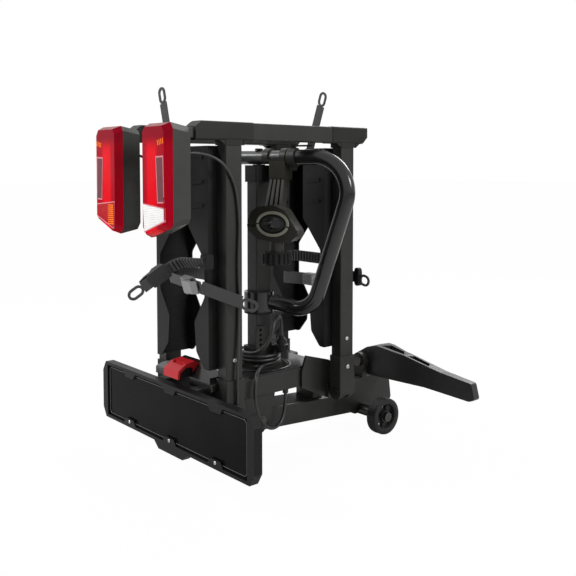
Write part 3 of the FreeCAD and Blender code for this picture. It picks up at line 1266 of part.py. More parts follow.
def wing_points():
    """The lamp's cable: from its gland down the outer face of the rear post."""
    x = post_outer_x + CABLE_D / 2 + FIT_GAP
    out_x = foot_outer_x + CABLE_D / 2 + 1.5
    y0 = LAMP_FRONT_Y + LENS_DEPTH + HOUSING_DEPTH + LAMP_GLAND_L
    return [V(LAMP_GLAND_X, y0, LAMP_GLAND_Z), V(LAMP_GLAND_X, -602, LAMP_GLAND_Z), V(125, -578, 602),
            V(x, -554, 590), V(x + 0.6, -533, 568), V(x, -519, 539), V(x, -513, 504),
            V(x + 0.4, -510, 464),
            V(x, -512, 420), V(x + 0.4, -513, 374), V(x, -511, 326), V(x + 0.5, -512, 278),
            V(x + 1.2, -514, 232),
            V(x + 3, -517, 190), V(out_x, REAR_POST_Y, 148), V(out_x, REAR_POST_Y, GROMMET_TOP_Z)]


def lead_points():
    """The platform's cable: out of its gland, a hanging loop, then up to the coil."""
    end, way = coil_point(0)
    return [V(GLAND_X, GLAND_Y, rail_low_z - GLAND_L), V(GLAND_X, GLAND_Y, 44), V(72, -352, 14),
            V(80, -384, 10), V(86, -414, 28), V(88, -432, 60), V(87, -438, 98), V(84, -430, 140),
            end - way * 30, end]


def plug_points():
    """From the end of the coil up and over into the plug."""
    start, way = coil_point(COIL_TURNS)
    return [start, start + way * 24, V(50, -397, 176), V(66, -388, 192), V(72, -379, 212),
            V(72, -374, 234.9), V(65, -361.2, 249.5), V(55, -342.9, 249.5),
            V(PLUG_X, PLUG_Y, 234.9), V(PLUG_X, PLUG_Y, PLUG_TOP_Z)]


def plug():
    """The round thirteen-pole plug, standing on the coil."""
    low = coil_low_z + COIL_PITCH * PLUG_TURN + CABLE_D / 2 + FIT_GAP
    x, y, r = PLUG_X, PLUG_Y, PLUG_D / 2
    top = PLUG_TOP_Z
    half = [V(0, 0, low), V(r - 3, 0, low), V(r - 3, 0, low + 6), V(r, 0, low + 7), V(r, 0, low + 17),
            V(r - 4, 0, low + 19), V(r - 5, 0, low + 28), V(CABLE_D / 2 + 2.5, 0, low + 33),
            V(CABLE_D / 2 + 1.5, 0, top), V(0, 0, top)]
    body = Part.Face(Part.makePolygon(half + [half[0]])).revolve(V(0, 0, 0), Z, 360)
    body.translate(V(x, y, 0))
    for number in range(12):
        angle = 2 * math.pi * number / 12
        at = V(x + r * math.cos(angle), y + r * math.sin(angle), low + 8)
        body = body.cut(cyl(1.4, at, at + Z * 20))
    return body


def build():
    """Makes and writes every piece."""
    save("drawbar", [drawbar()])
    save("coupling_housing", [coupling_housing()])
    save("ball_jaw", [ball_jaw()])
    save("lever_shaft", [lever_shaft()])
    save("coupling_lever", [coupling_lever()])
    save("wheel_axle", [wheel_axle()])
    save("wheel_right", [wheel()])
    save("wheel_left", [mirrored(wheel())])
    save("side_rails", side_rails())
    save("tilt_pin", [tilt_pin()])
    save("crossmembers", [crossmember(REAR_POST_Y), crossmember(FRONT_POST_Y)])
    save("deck", [deck()])
    save("column", [column()])
    save("column_base", [column_base()])
    save("column_cap", [column_cap()])
    save("column_bush", [column_bush()])
    save("hoop", [turned(hoop())])
    save("hoop_collar", [turned(hoop_collar())])
    save("collar_lever", [turned(collar_lever())])
    save("upper_bar", [turned(upper_bar())])
    save("clamp_arm", [turned(clamp_collar())])
    save("clamp_jaw", [turned(lower_jaw())])
    save("clamp_liner_upper", [turned(liner(True))])
    save("clamp_liner_lower", [turned(liner(False))])
    save("clamp_pin", [turned(jaw_pin())])
    save("clamp_knob", [turned(clamp_knob())])
    save("board_frame", [board_frame()])
    save("board_sheet", [board_sheet()])
    save("pedal_housing", [pedal_housing()])
    save("pedal", [pedal()])
    save("straps_rear_right", straps_rear_right())
    frames = buckles_rear_right(buckle_frame())
    levers = buckles_rear_right(buckle_lever())
    save("buckle_tooth_strap", [frames[0]])
    save("buckle_loop_strap", [frames[1]])
    save("buckle_lever_tooth_strap", [levers[0]])
    save("buckle_lever_loop_strap", [levers[1]])
    save("strap_rear_left", [strap_rear_left()])
    save("strap_front_left", [strap_front_left()])
    save("cable_lead", [cord("cable_lead", lead_points(), CABLE_D)])
    save("cable_coil", [cable_coil()])
    save("cable_plug_lead", [cord("cable_plug_lead", plug_points(), CABLE_D)])
    save("plug", [plug()])
    pins = [hinge_pin(side, y) for side in (-1, 1) for y in (REAR_POST_Y, FRONT_POST_Y)]
    save("hinge_pins", pins)
    wing = {
        "feet": [rear_foot(), foot(FRONT_POST_Y)],
        "posts": [post(REAR_POST_Y), post(FRONT_POST_Y)],
        "beam": [beam()],
        "beam_corners": beam_corners(),
        "tray_rear": [tray(REAR_POST_Y)],
        "tray_front": [tray(FRONT_POST_Y)],
        "lamp_housing": [lamp_housing()],
        "lamp_lens": [lamp_lens()],
        "cable_wing": [cord("cable_wing", wing_points(), CABLE_D)],
    }
    for name, shapes in wing.items():
        save(name + "_right", shapes)
        save(name + "_left", [mirrored(shape) for shape in shapes])


build()
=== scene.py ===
# %% [markdown]
# A folded two-bike carrier for a tow ball. The solids come packed as a fixed frame, so every place in this
# lesson is already in metres and in the right spot. Blender's work is the looks: finishes for each solid,
# and new pieces for what a plain solid can't show, such as cables, straps, lamp optics, tyre treads and
# screws.

# %% Load the frame and the tools
import bmesh
import bpy
import json
import math
import numpy as np
from mathutils import Matrix, Vector


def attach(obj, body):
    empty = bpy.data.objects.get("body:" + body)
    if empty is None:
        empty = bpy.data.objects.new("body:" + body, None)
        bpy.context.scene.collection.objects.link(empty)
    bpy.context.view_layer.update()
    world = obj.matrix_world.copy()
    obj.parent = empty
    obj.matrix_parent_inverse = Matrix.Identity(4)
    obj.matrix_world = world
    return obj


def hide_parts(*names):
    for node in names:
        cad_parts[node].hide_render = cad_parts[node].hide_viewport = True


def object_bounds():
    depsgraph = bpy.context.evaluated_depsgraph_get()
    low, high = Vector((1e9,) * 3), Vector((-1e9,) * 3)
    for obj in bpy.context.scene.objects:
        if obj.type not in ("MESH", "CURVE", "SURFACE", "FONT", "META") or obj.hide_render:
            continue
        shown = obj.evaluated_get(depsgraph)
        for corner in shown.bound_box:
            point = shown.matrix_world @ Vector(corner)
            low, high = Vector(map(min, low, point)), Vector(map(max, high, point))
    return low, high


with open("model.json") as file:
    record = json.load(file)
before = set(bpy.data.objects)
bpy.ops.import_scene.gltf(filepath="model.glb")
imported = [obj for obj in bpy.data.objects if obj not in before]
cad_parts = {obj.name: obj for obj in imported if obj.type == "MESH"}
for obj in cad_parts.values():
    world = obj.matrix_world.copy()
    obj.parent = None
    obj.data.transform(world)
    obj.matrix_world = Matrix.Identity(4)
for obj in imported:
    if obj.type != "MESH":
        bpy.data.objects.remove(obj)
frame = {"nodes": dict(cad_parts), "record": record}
cad_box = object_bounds()
nodes = frame["nodes"]
print("the solids span", [round(high - low, 3) for low, high in zip(*cad_box)], "m")

# %% [markdown]
# The camera stands where the photograph was taken from: behind the carrier, on its right, a little above
# the middle. It could be placed by eye, but its three axes were fitted to edges of known size instead. The
# lens and the small shift of the picture follow from that fit, so the render lies over the photograph.

# %% Camera
IMAGE_PX, FOCAL_PX, CENTRE_ROW_PX = 576, 792.3, 210.9
SENSOR_MM = 36.0
CAMERA_AT = (1.3837, -1.4632, 0.5780)
CAMERA_TURN, CAMERA_DIP = math.radians(49.214), math.radians(3.137)
back = Vector((math.sin(CAMERA_TURN) * math.cos(CAMERA_DIP), -math.cos(CAMERA_TURN) * math.cos(CAMERA_DIP),
               math.sin(CAMERA_DIP)))
right = Vector((math.cos(CAMERA_TURN), math.sin(CAMERA_TURN), 0))
camera_data = bpy.data.cameras.new("camera")
camera_data.sensor_width = SENSOR_MM
camera_data.lens = SENSOR_MM * FOCAL_PX / IMAGE_PX
camera_data.shift_y = (CENTRE_ROW_PX - IMAGE_PX / 2) / IMAGE_PX
camera = bpy.data.objects.new("camera", camera_data)
turn = Matrix((right, back.cross(right), back)).transposed().to_4x4()
camera.matrix_world = Matrix.Translation(CAMERA_AT) @ turn
bpy.context.collection.objects.link(camera)
bpy.context.scene.camera = camera
bpy.context.scene.view_settings.view_transform = "Standard"
print("lens", round(camera_data.lens, 1), "mm, shift", round(camera_data.shift_y, 3))

# %% [markdown]
# Shader sums are easier to read as Python than as a web of nodes. Tie wraps one socket, and each operator
# on it adds one Math node. Paint holds one material: its add method makes any other node, with its settings
# first and then the values or links of its sockets.

# %% Shader sums
class Tie:
    """One output socket that takes part in Python sums."""

    def __init__(self, paint, socket):
        self.paint, self.socket = paint, socket

    def work(self, operation, *values):
        return self.paint.add("ShaderNodeMath", {"operation": operation}, list(values))

    def __add__(self, other):
        return self.work("ADD", self, other)

    def __sub__(self, other):
        return self.work("SUBTRACT", self, other)

    def __rsub__(self, other):
        return self.work("SUBTRACT", other, self)

    def __mul__(self, other):
        return self.work("MULTIPLY", self, other)

    def __pow__(self, other):
        return self.work("POWER", self, other)

    def over(self, edge, soft=0.0001):
        """0 below the edge, 1 above it, with a soft step between."""
        step = {"clamp": True, "interpolation_type": "SMOOTHSTEP"}
        return self.paint.add("ShaderNodeMapRange", step, {0: self, 1: edge - soft, 2: edge + soft})

    def under(self, edge, soft=0.0001):
        return 1 - self.over(edge, soft)

    __radd__, __rmul__ = __add__, __mul__


# %% Paint
MIX_COLOURS, MIX_RESULT = (6, 7), 2


class Paint:
    """A material, with one method for any node and short names for the usual ones."""

    def __init__(self, name):
        self.material = bpy.data.materials.new(name)
        self.material.use_nodes = True
        self.tree = self.material.node_tree
        self.shader = self.tree.nodes["Principled BSDF"]
        self.place = self.add("ShaderNodeTexCoord", out="Object")

    def add(self, kind, settings=None, values=(), out=0):
        node = self.tree.nodes.new(kind)
        for key, value in (settings or {}).items():
            setattr(node, key, value)
        pairs = values.items() if isinstance(values, dict) else enumerate(values)
        for key, value in pairs:
            self.feed(node.inputs[key], value)
        return Tie(self, node.outputs[out])

    def feed(self, socket, value):
        if isinstance(value, Tie):
            self.tree.links.new(value.socket, socket)
        elif isinstance(value, tuple) and len(value) == 3 and socket.type == "RGBA":
            socket.default_value = (*value, 1.0)
        else:
            socket.default_value = value

    def stretched(self, scale):
        """Object coordinates with another scale along each axis."""
        return self.add("ShaderNodeMapping", {}, {"Vector": self.place, "Scale": scale})

    def axes(self, vector):
        """The three numbers of a vector."""
        node = self.tree.nodes.new("ShaderNodeSeparateXYZ")
        self.feed(node.inputs[0], vector)
        return [Tie(self, output) for output in node.outputs]

    def noise(self, scale, detail=3.0, stretch=(1, 1, 1)):
        """Cloudy noise from 0 to 1 with so many spots to the metre."""
        return self.add("ShaderNodeTexNoise", {}, {"Vector": self.stretched(stretch), "Scale": scale,
                                                   "Detail": detail})

    def cells(self, scale):
        """The distance to the nearest of many scattered points, in cell widths."""
        return self.add("ShaderNodeTexVoronoi", {}, {"Vector": self.place, "Scale": scale})

    def bands(self, direction, scale):
        """Smooth bands across X or Z, from 0 to 1."""
        return self.add("ShaderNodeTexWave", {"wave_type": "BANDS", "bands_direction": direction},
                        {"Vector": self.place, "Scale": scale, "Distortion": 0.0})

    def mix(self, share, first, second):
        """A colour between two."""
        node = self.tree.nodes.new("ShaderNodeMix")
        node.data_type = "RGBA"
        self.feed(node.inputs[0], share)
        for number, colour in zip(MIX_COLOURS, (first, second)):
            self.feed(node.inputs[number], colour)
        return Tie(self, node.outputs[MIX_RESULT])

    def bump(self, height, depth):
        """A normal from a height from 0 to 1 that stands for so many metres."""
        return self.add("ShaderNodeBump", {}, {"Height": height, "Distance": depth, "Strength": 1.0})

    def finish(self, **sockets):
        """Feeds the shader, one socket by name after the other."""
        for name, value in sockets.items():
            self.feed(self.shader.inputs[name.replace("_", " ")], value)
        return self.material


print("shader helpers ready")

# %% [markdown]
# The stage is a pale floor and a pale world. A white world alone would wash the dark steel out, so only
# camera, glossy and transmission rays see white, while the light on the object stays plain: a soft sky, one
# large lamp from the upper left and two weaker ones from the right and from behind.

# %% World
SKY_LIGHT = 0.45
world = bpy.data.worlds.new("studio")
bpy.context.scene.world = world
world.use_nodes = True
sky = world.node_tree
rays = sky.nodes.new("ShaderNodeLightPath")
seen = sky.nodes.new("ShaderNodeMath")
seen.operation = "ADD"
seen_too = sky.nodes.new("ShaderNodeMath")
seen_too.operation, seen_too.use_clamp = "ADD", True
sky.links.new(rays.outputs["Is Camera Ray"], seen.inputs[0])
sky.links.new(rays.outputs["Is Glossy Ray"], seen.inputs[1])
sky.links.new(seen.outputs[0], seen_too.inputs[0])
sky.links.new(rays.outputs["Is Transmission Ray"], seen_too.inputs[1])
strength = sky.nodes.new("ShaderNodeMapRange")
strength.inputs["To Min"].default_value, strength.inputs["To Max"].default_value = SKY_LIGHT, 1.0
sky.links.new(seen_too.outputs[0], strength.inputs["Value"])
sky.nodes["Background"].inputs["Color"].default_value = (1, 1, 1, 1)
sky.links.new(strength.outputs[0], sky.nodes["Background"].inputs["Strength"])
print("sky light", SKY_LIGHT)

# %% Floor
FLOOR_Z, FLOOR_HALF, FLOOR_WHITE = cad_box[0][2], 30.0, 0.975
floor_paint = Paint("stage_floor")
path = floor_paint.tree.nodes.new("ShaderNodeLightPath")
glow = floor_paint.tree.nodes.new("ShaderNodeEmission")
both = floor_paint.tree.nodes.new("ShaderNodeMixShader")
floor_paint.feed(both.inputs[0], Tie(floor_paint, path.outputs["Is Camera Ray"]) * FLOOR_WHITE)
floor_paint.tree.links.new(floor_paint.shader.outputs[0], both.inputs[1])
floor_paint.tree.links.new(glow.outputs[0], both.inputs[2])
floor_paint.tree.links.new(both.outputs[0], floor_paint.tree.nodes["Material Output"].inputs[0])
floor_paint.finish(Base_Color=(0.86, 0.86, 0.86), Roughness=0.7)
floor_mesh = bpy.data.meshes.new("floor")
square = ((-1, -1), (1, -1), (1, 1), (-1, 1))
floor_corners = [(x * FLOOR_HALF, y * FLOOR_HALF, FLOOR_Z) for x, y in square]
floor_mesh.from_pydata(floor_corners, [], [(0, 1, 2, 3)])
floor = bpy.data.objects.new("floor", floor_mesh)
floor_mesh.materials.append(floor_paint.material)
bpy.context.collection.objects.link(floor)
print("floor at", round(FLOOR_Z, 3), "m")

# %% Lamps
LIT_POINT = Vector((0, -0.355, 0.3))
LAMPS = {
    "key": ((-1.2, -2.4, 2.3), 1.0, 62),
    "side": ((2.6, 0.5, 1.5), 0.8, 34),
    "rim": ((-0.6, 2.2, 2.1), 1.4, 44),
}
for name, (place, size, watts) in LAMPS.items():
    data = bpy.data.lights.new(name, "AREA")
    data.shape, data.size, data.energy = "DISK", size, watts
    lamp = bpy.data.objects.new(name, data)
    aim = (Vector(place) - LIT_POINT).to_track_quat("Z", "Y").to_matrix().to_4x4()
    lamp.matrix_world = Matrix.Translation(place) @ aim
    bpy.context.collection.objects.link(lamp)
    print(name, "lamp at", place)

# %% [markdown]
# The cables come next, because they must fit the room that the frame gives them. The platform's cable
# leaves its gland under the right rail, hangs in a loop, climbs past the deck's edge and lies in a neat
# coil round the column's shoe. From there it rises into its plug. It could be a swept mesh, but one NURBS
# line keeps the cord measurable and rounds its control points off by itself. A coil of n turns is a circle
# whose height grows with the angle: (r cos a, r sin a, h a).

# %% Light cable
CABLE_D = 0.0075
COLUMN_Y = -0.355
COIL_R, COIL_TURNS, COIL_PITCH, COIL_LOW_Z = 0.045, 2.75, 0.0085, 0.14475
COIL_POINTS_PER_TURN, COIL_GROWTH = 12, 0.75
PLUG_AT = (0.048, -0.330)


def coil_points(turns, each):
    """Points on a helix round the column: angle a, place (r cos a, r sin a), height low + pitch a / 2 pi.

    A NURBS line cuts its corners, so the points between the ends stand outside the circle, by a factor of
    1 / cos(half the step) to the power COIL_GROWTH."""
    a = np.linspace(0, 2 * np.pi * turns, int(turns * each) + 1)
    grow = np.where((a > 0) & (a < a[-1]), 1 / math.cos(math.pi / each) ** COIL_GROWTH, 1.0)
    return np.stack([COIL_R * grow * np.cos(a), COLUMN_Y + COIL_R * grow * np.sin(a),
                     COIL_LOW_Z + COIL_PITCH * a / (2 * np.pi)], axis=1)


def cable(name, points, body, diameter=CABLE_D):
    """A round cable: one NURBS spline of order 3 that starts and ends on its end points.

    The cable's radius is set at its points, times a bevel depth of 1, so that its measured box is right."""
    curve = bpy.data.curves.new(name, "CURVE")
    curve.dimensions, curve.bevel_depth, curve.bevel_resolution, curve.use_fill_caps = "3D", 1.0, 5, True
    spline = curve.splines.new("NURBS")
    spline.points.add(len(points) - 1)
    spline.points.foreach_set("co", np.hstack([points, np.ones((len(points), 1))]).ravel())
    spline.points.foreach_set("radius", np.full(len(points), diameter / 2))
    spline.order_u, spline.use_endpoint_u, spline.resolution_u = 3, True, 8
    piece = bpy.data.objects.new(name, curve)
    bpy.context.collection.objects.link(piece)
    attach(piece, body)
    return piece


coil = coil_points(COIL_TURNS, COIL_POINTS_PER_TURN)
lead_in = [(0.066, -0.334, 0.079), (0.066, -0.334, 0.044), (0.072, -0.352, 0.014), (0.080, -0.384, 0.010),
           (0.086, -0.414, 0.028), (0.088, -0.432, 0.060), (0.087, -0.438, 0.098), (0.084, -0.430, 0.140),
           (0.045, -0.385, 0.1439)]
lead_out = [(0.024, -0.400, 0.1688), (0.050, -0.397, 0.176), (0.066, -0.388, 0.192), (0.072, -0.379, 0.212),
            (0.072, -0.374, 0.2349), (0.065, -0.3612, 0.2495), (0.055, -0.3429, 0.2495), (*PLUG_AT, 0.2349),
            (*PLUG_AT, 0.204)]
light_cable = cable("light_cable", np.vstack([lead_in, coil, lead_out]), "platform")
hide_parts("cable_lead", "cable_coil", "cable_plug_lead")

# %% [markdown]
# Each wing has its own cable from the lamp to the foot. It leaves a gland at the lamp's back, comes round
# to the outer face of the rear post, and hangs down it into a grommet at the foot. A straight line would
# look stiff, so the points waver by a few tenths of a millimetre, and the left cable is the right one's
# mirror.

# %% Wing cables
WING_CABLE_D, WING_CABLE_LENGTH = 0.0058, 0.568
wing_route = np.array([(0.119, -0.620, 0.606), (0.119, -0.602, 0.606), (0.125, -0.578, 0.602),
                       (0.13105, -0.554, 0.590), (0.13165, -0.533, 0.568), (0.13105, -0.519, 0.539),
                       (0.13105, -0.513, 0.504), (0.13145, -0.510, 0.464), (0.13105, -0.512, 0.420),
                       (0.13145, -0.513, 0.374), (0.13105, -0.511, 0.326), (0.13155, -0.512, 0.278),
                       (0.13225, -0.514, 0.232), (0.13405, -0.517, 0.190), (0.13525, -0.520, 0.148),
                       (0.13525, -0.520, 0.104)])
for side, sign in (("right", 1), ("left", -1)):
    route = wing_route * (sign, 1, 1)
    wing_cable = cable("wing_cable_" + side, route, "wing_" + side, WING_CABLE_D)
    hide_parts("cable_wing_" + side)
print("wing cables", WING_CABLE_LENGTH, "m each")

# %% [markdown]
# The finishes follow. Sheet steel, extruded posts and castings are all dark on this carrier, and differ
# mainly in gloss and in grain: powder coat has a fine orange peel, extrusions carry faint streaks along
# their length, and castings are rough. Image textures could show that, but sums of noise need no file and
# no unwrapping. Each finish is one function of a colour.

# %% Finishes for metal
UP_FACING, DUST_COLOUR = 0.75, (0.13, 0.128, 0.122)


def two_tones(paint, colour, share, spread=0.22):
    """The colour, from a little darker to a little lighter."""
    dark = tuple(c * (1 - spread) for c in colour)
    light = tuple(min(1.0, c * (1 + spread) + 0.004) for c in colour)
    return paint.mix(share, dark, light)


def dusted(paint, colour, amount):
    """A thin grey dust on what faces up, broken up by noise."""
    normal = paint.add("ShaderNodeNewGeometry", out="Normal")
    up = paint.axes(normal)[2].over(UP_FACING, 0.2)
    return paint.mix(up * paint.noise(35, 4) * amount, colour, DUST_COLOUR)


def powder_coat(name, colour, rough=0.42, along=(1, 1, 0.06), shine=0.3):
    """Coated steel or extrusion: slow clouds, faint streaks along the length, fine orange peel."""
    paint = Paint(name)
    streaks = paint.noise(60, 2, stretch=along)
    share = paint.noise(7, 4) * 0.6 + streaks * 0.4
    base = dusted(paint, two_tones(paint, colour, share), 0.35)
    height = paint.noise(1400, 1) * 0.5 + paint.noise(420, 2) * 0.5
    return paint.finish(Base_Color=base, Roughness=streaks * 0.14 + (rough - 0.07),
                        Specular_IOR_Level=shine, Normal=paint.bump(height, 0.00006))


def lacquer(name, colour, rough=0.16, coat=0.25, shine=0.3, dust=0.2):
    """Gloss lacquer with soft waves in it and a little dust."""
    paint = Paint(name)
    base = dusted(paint, two_tones(paint, colour, paint.noise(12, 3)), dust)
    height = paint.noise(70, 1)
    return paint.finish(Base_Color=base, Roughness=paint.noise(50, 3) * 0.10 + rough,
                        Coat_Weight=coat, Coat_Roughness=0.08, Specular_IOR_Level=shine,
                        Normal=paint.bump(height, 0.00008))


def casting(name, colour, rough=0.5):
    """Painted cast metal: a pebbly skin with shallow pits."""
    paint = Paint(name)
    height = paint.cells(520) * 0.7 + paint.noise(900, 2) * 0.3
    base = dusted(paint, two_tones(paint, colour, paint.noise(14, 4), 0.3), 0.35)
    return paint.finish(Base_Color=base, Roughness=rough + (paint.noise(90, 3) - 0.5) * 0.2,
                        Specular_IOR_Level=0.3, Normal=paint.bump(height, 0.0002))


def plated(name, colour=(0.55, 0.55, 0.54), rough=0.3):
    """Zinc plate or bare rod: fine lines and a cloudy shine."""
    paint = Paint(name)
    lines = paint.noise(300, 2)
    return paint.finish(Base_Color=two_tones(paint, colour, paint.noise(40, 3)), Metallic=1.0,
                        Roughness=lines * 0.2 + (rough - 0.1), Normal=paint.bump(lines, 0.00003))


# %% [markdown]
# Plastics and rubber reflect less than coated steel. Their grain is a bump of small cells, which costs no
# triangles. Edges that are handled are a little smoother, which slow noise in the roughness stands for.

# %% Finishes for plastic and rubber
PEDAL_COVER_EDGE_X = -0.036


def moulded(name, colour, rough=0.5, grain=650, depth=0.00012, dust=0.3, shine=0.25):
    """Moulded plastic with an eroded grain."""
    paint = Paint(name)
    handled = paint.noise(16, 3)
    base = dusted(paint, two_tones(paint, colour, handled, 0.18), dust)
    height = paint.cells(grain) * 0.6 + paint.noise(grain * 2, 2) * 0.4
    return paint.finish(Base_Color=base, Roughness=rough + (handled - 0.5) * 0.22,
                        Specular_IOR_Level=shine, Normal=paint.bump(height, depth))


def glossy(name, colour, rough=0.25, shine=0.3):
    """Smooth moulded plastic: clean, with faint flow marks."""
    paint = Paint(name)
    flow = paint.noise(22, 3, (1, 1, 0.3))
    return paint.finish(Base_Color=two_tones(paint, colour, flow, 0.1), Roughness=flow * 0.15 + rough,
                        Specular_IOR_Level=shine, Normal=paint.bump(flow, 0.00008))


def pedal_cover(name):
    """The pedal's cover: gloss black, with a smoky clear end on the left of PEDAL_COVER_EDGE_X."""
    paint = Paint(name)
    smoky = paint.axes(paint.place)[0].under(PEDAL_COVER_EDGE_X, 0.003)
    flow = paint.noise(22, 3, (1, 1, 0.3))
    base = paint.mix(smoky, (0.006, 0.006, 0.006), (0.085, 0.085, 0.088))
    return paint.finish(Base_Color=base, Roughness=flow * 0.1 + 0.14, Specular_IOR_Level=0.45,
                        Normal=paint.bump(flow, 0.00008))


def rubber(name, colour, rough=0.62):
    """Matt rubber with a bloom of lighter patches."""
    paint = Paint(name)
    bloom = paint.noise(30, 4)
    return paint.finish(Base_Color=two_tones(paint, colour, bloom, 0.25),
                        Roughness=bloom * 0.2 + (rough - 0.1), Normal=paint.bump(paint.noise(800, 2), 0.0001))


# %% [markdown]
# The lamp's lens is clear red plastic over a mirror bowl. Real glass over a real bowl would be slow and
# noisy to render, so the bowl's reflection is painted into the lens: bright in front of the bowl, darker
# beside and above it, and fluted, with painted highlights on the flutes in front of the bowl.

# %% Lens finish
LAMP_MIDDLE_X, BOWL_INNER, BOWL_OUTER, BOWL_TOP_Z, LENS_TOP_Z = 0.093, -0.022, 0.012, 0.622, 0.628
FLUTE_SCALE = 95.0


def red_lens(name):
    """Red lens: darker beside the reflector bowl, brighter in the middle of it where the bowl's reflection is
    painted, with fine upright flutes that carry painted highlights in front of the bowl.
    """
    paint = Paint(name)
    x, _, z = paint.axes(paint.place)
    aside = ((x ** 2) ** 0.5) - LAMP_MIDDLE_X
    # painted reflection: bowl_reflection is 1 in front of the mirror bowl, where the lens is painted brighter
    bowl_reflection = aside.over(BOWL_INNER, 0.006) * aside.under(BOWL_OUTER, 0.006) * z.under(BOWL_TOP_Z, 0.02)
    top = z.over(LENS_TOP_Z, 0.012)
    base = paint.mix(bowl_reflection, (0.40, 0.001, 0.012), (0.78, 0.001, 0.010))
    base = paint.mix(top * 0.75, base, (0.20, 0.001, 0.012))
    base = paint.mix(paint.noise(18, 3) * 0.3, base, (0.24, 0.001, 0.008))
    flutes = paint.bands("X", FLUTE_SCALE)
    # painted highlights: the flutes in front of the bowl are painted brighter red
    base = paint.mix(flutes * bowl_reflection * 0.35, base, (0.88, 0.004, 0.012))
    return paint.finish(Base_Color=base, Roughness=0.12, Specular_IOR_Level=0.04,
                        Normal=paint.bump(flutes, 0.00015))


# %% [markdown]
# Each solid gets its finish by its material slot in the record, so a repaint of a slot repaints the piece.
# A few solids share a slot and yet look different on the real carrier, and those have a finish of their
# own.

# %% Finishes on the solids
finishes = {
    "steel_tube": powder_coat("powder_coat_black", (0.0125, 0.0120, 0.0112), 0.36),
    "hoop_tube": powder_coat("powder_coat_hoop", (0.0072, 0.0072, 0.0074), 0.17, (1, 1, 1), 0.45),
    "deck_sheet": lacquer("lacquer_deck", (0.006, 0.006, 0.006), coat=0.15, shine=0.2),
    "bright_steel": plated("blackened_steel", (0.075, 0.072, 0.068), 0.38),
    "bar_tube": powder_coat("anodised_bar", (0.030, 0.031, 0.032), 0.30, (0.2, 0.2, 1), 0.7),
    "cast_body": casting("cast_black", (0.0125, 0.0118, 0.0108)),
    "black_plastic": moulded("moulded_black", (0.0075, 0.0075, 0.0075), 0.42, shine=0.14),
    "grey_plastic": moulded("moulded_grey", (0.013, 0.0126, 0.0118), 0.44, shine=0.16),
    "lever_plastic": moulded("moulded_lever", (0.0125, 0.0125, 0.0128), 0.40, 900, 0.00006, shine=0.35),
    "sheet_black": lacquer("lacquer_sheet", (0.0035, 0.0035, 0.0036), 0.12, 0.0, 0.03, 0.0),
    "red_plastic": glossy("moulded_red", (0.42, 0.008, 0.014), 0.3),
    "lens_red": red_lens("lens_red"),
    "strap_rubber": moulded("strap_grey", (0.045, 0.045, 0.045), 0.46, 900, 0.00006, 0.1),
    "buckle_plastic": glossy("buckle_grey", (0.20, 0.205, 0.20)),
    "liner_rubber": rubber("liner_grey", (0.22, 0.22, 0.175)),
    "wheel_plastic": moulded("wheel_black", (0.0085, 0.0085, 0.0085), 0.45, 500),
    "cable_rubber": rubber("cable_black", (0.010, 0.010, 0.010), 0.4),
}
buckle_black = glossy("buckle_black", (0.012, 0.012, 0.012), 0.3)
lamp_black = moulded("lamp_back", (0.034, 0.034, 0.031), 0.42)
clamp_black = moulded("clamp_black", (0.022, 0.021, 0.017), 0.36)
grip_black = rubber("grip_black", (0.016, 0.016, 0.014), 0.5)
own_finish = {
    "clamp_liner_upper": grip_black, "clamp_liner_lower": grip_black,
    "clamp_arm": clamp_black, "clamp_jaw": clamp_black,
    "buckle_tooth_strap": buckle_black, "buckle_lever_tooth_strap": buckle_black,
    "lamp_housing_right": lamp_black, "lamp_housing_left": lamp_black,
    "board_frame": glossy("board_black", (0.0055, 0.0055, 0.0056), 0.3, 0.1),
    "pedal_housing": pedal_cover("pedal_cover"),
}
for entry in frame["record"]["subparts"]:
    mesh = nodes[entry["node"]].data
    mesh.materials.clear()
    mesh.materials.append(own_finish.get(entry["node"], finishes[entry["material_slot"]]))
for name in ("light_cable", "wing_cable_right", "wing_cable_left"):
    bpy.data.objects[name].data.materials.append(finishes["cable_rubber"])
print(len(finishes), "finishes on", len(nodes), "solids")

# %% [markdown]
# New pieces are surfaces on a grid of points, worked out with numpy. Modelling them by hand or with
# booleans would work too, but a formula keeps every edge where a named size puts it. Row i, column j of the
# grid joins its four neighbours in one quad, and a closed shape joins its last column to its first.

# %% Surfaces from grids
def outward(mesh):
    """Turns every face of a closed mesh outwards."""
    work = bmesh.new()
    work.from_mesh(mesh)
    bmesh.ops.remove_doubles(work, verts=work.verts, dist=1e-7)
    bmesh.ops.recalc_face_normals(work, faces=work.faces)
    work.to_mesh(mesh)
    work.free()


def surface(name, grids, body, slot, closed_rows=False, closed_cols=True, capped=True, smooth=False):
    """One piece from one or more grids of points, each rows x columns x 3, in metres."""
    points, faces, start = [], [], 0
    for grid in grids:
        rows, cols = grid.shape[:2]
        number = np.arange(rows * cols).reshape(rows, cols) + start
        across = np.concatenate([number, number[:, :1]], axis=1) if closed_cols else number
        down = np.concatenate([across, across[:1]], axis=0) if closed_rows else across
        quads = np.stack([down[:-1, :-1], down[:-1, 1:], down[1:, 1:], down[1:, :-1]], axis=-1)
        faces.extend(quads.reshape(-1, 4).tolist())
        if capped and closed_cols and not closed_rows:
            faces.extend([number[0][::-1].tolist(), number[-1].tolist()])
        points.append(grid.reshape(-1, 3))
        start += rows * cols
    mesh = bpy.data.meshes.new(name)
    mesh.from_pydata(np.concatenate(points).tolist(), [], faces)
    mesh.polygons.foreach_set("use_smooth", [smooth] * len(mesh.polygons))
    mesh.materials.append(finishes[slot])
    outward(mesh)
    piece = bpy.data.objects.new(name, mesh)
    bpy.context.collection.objects.link(piece)
    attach(piece, body)
    return piece


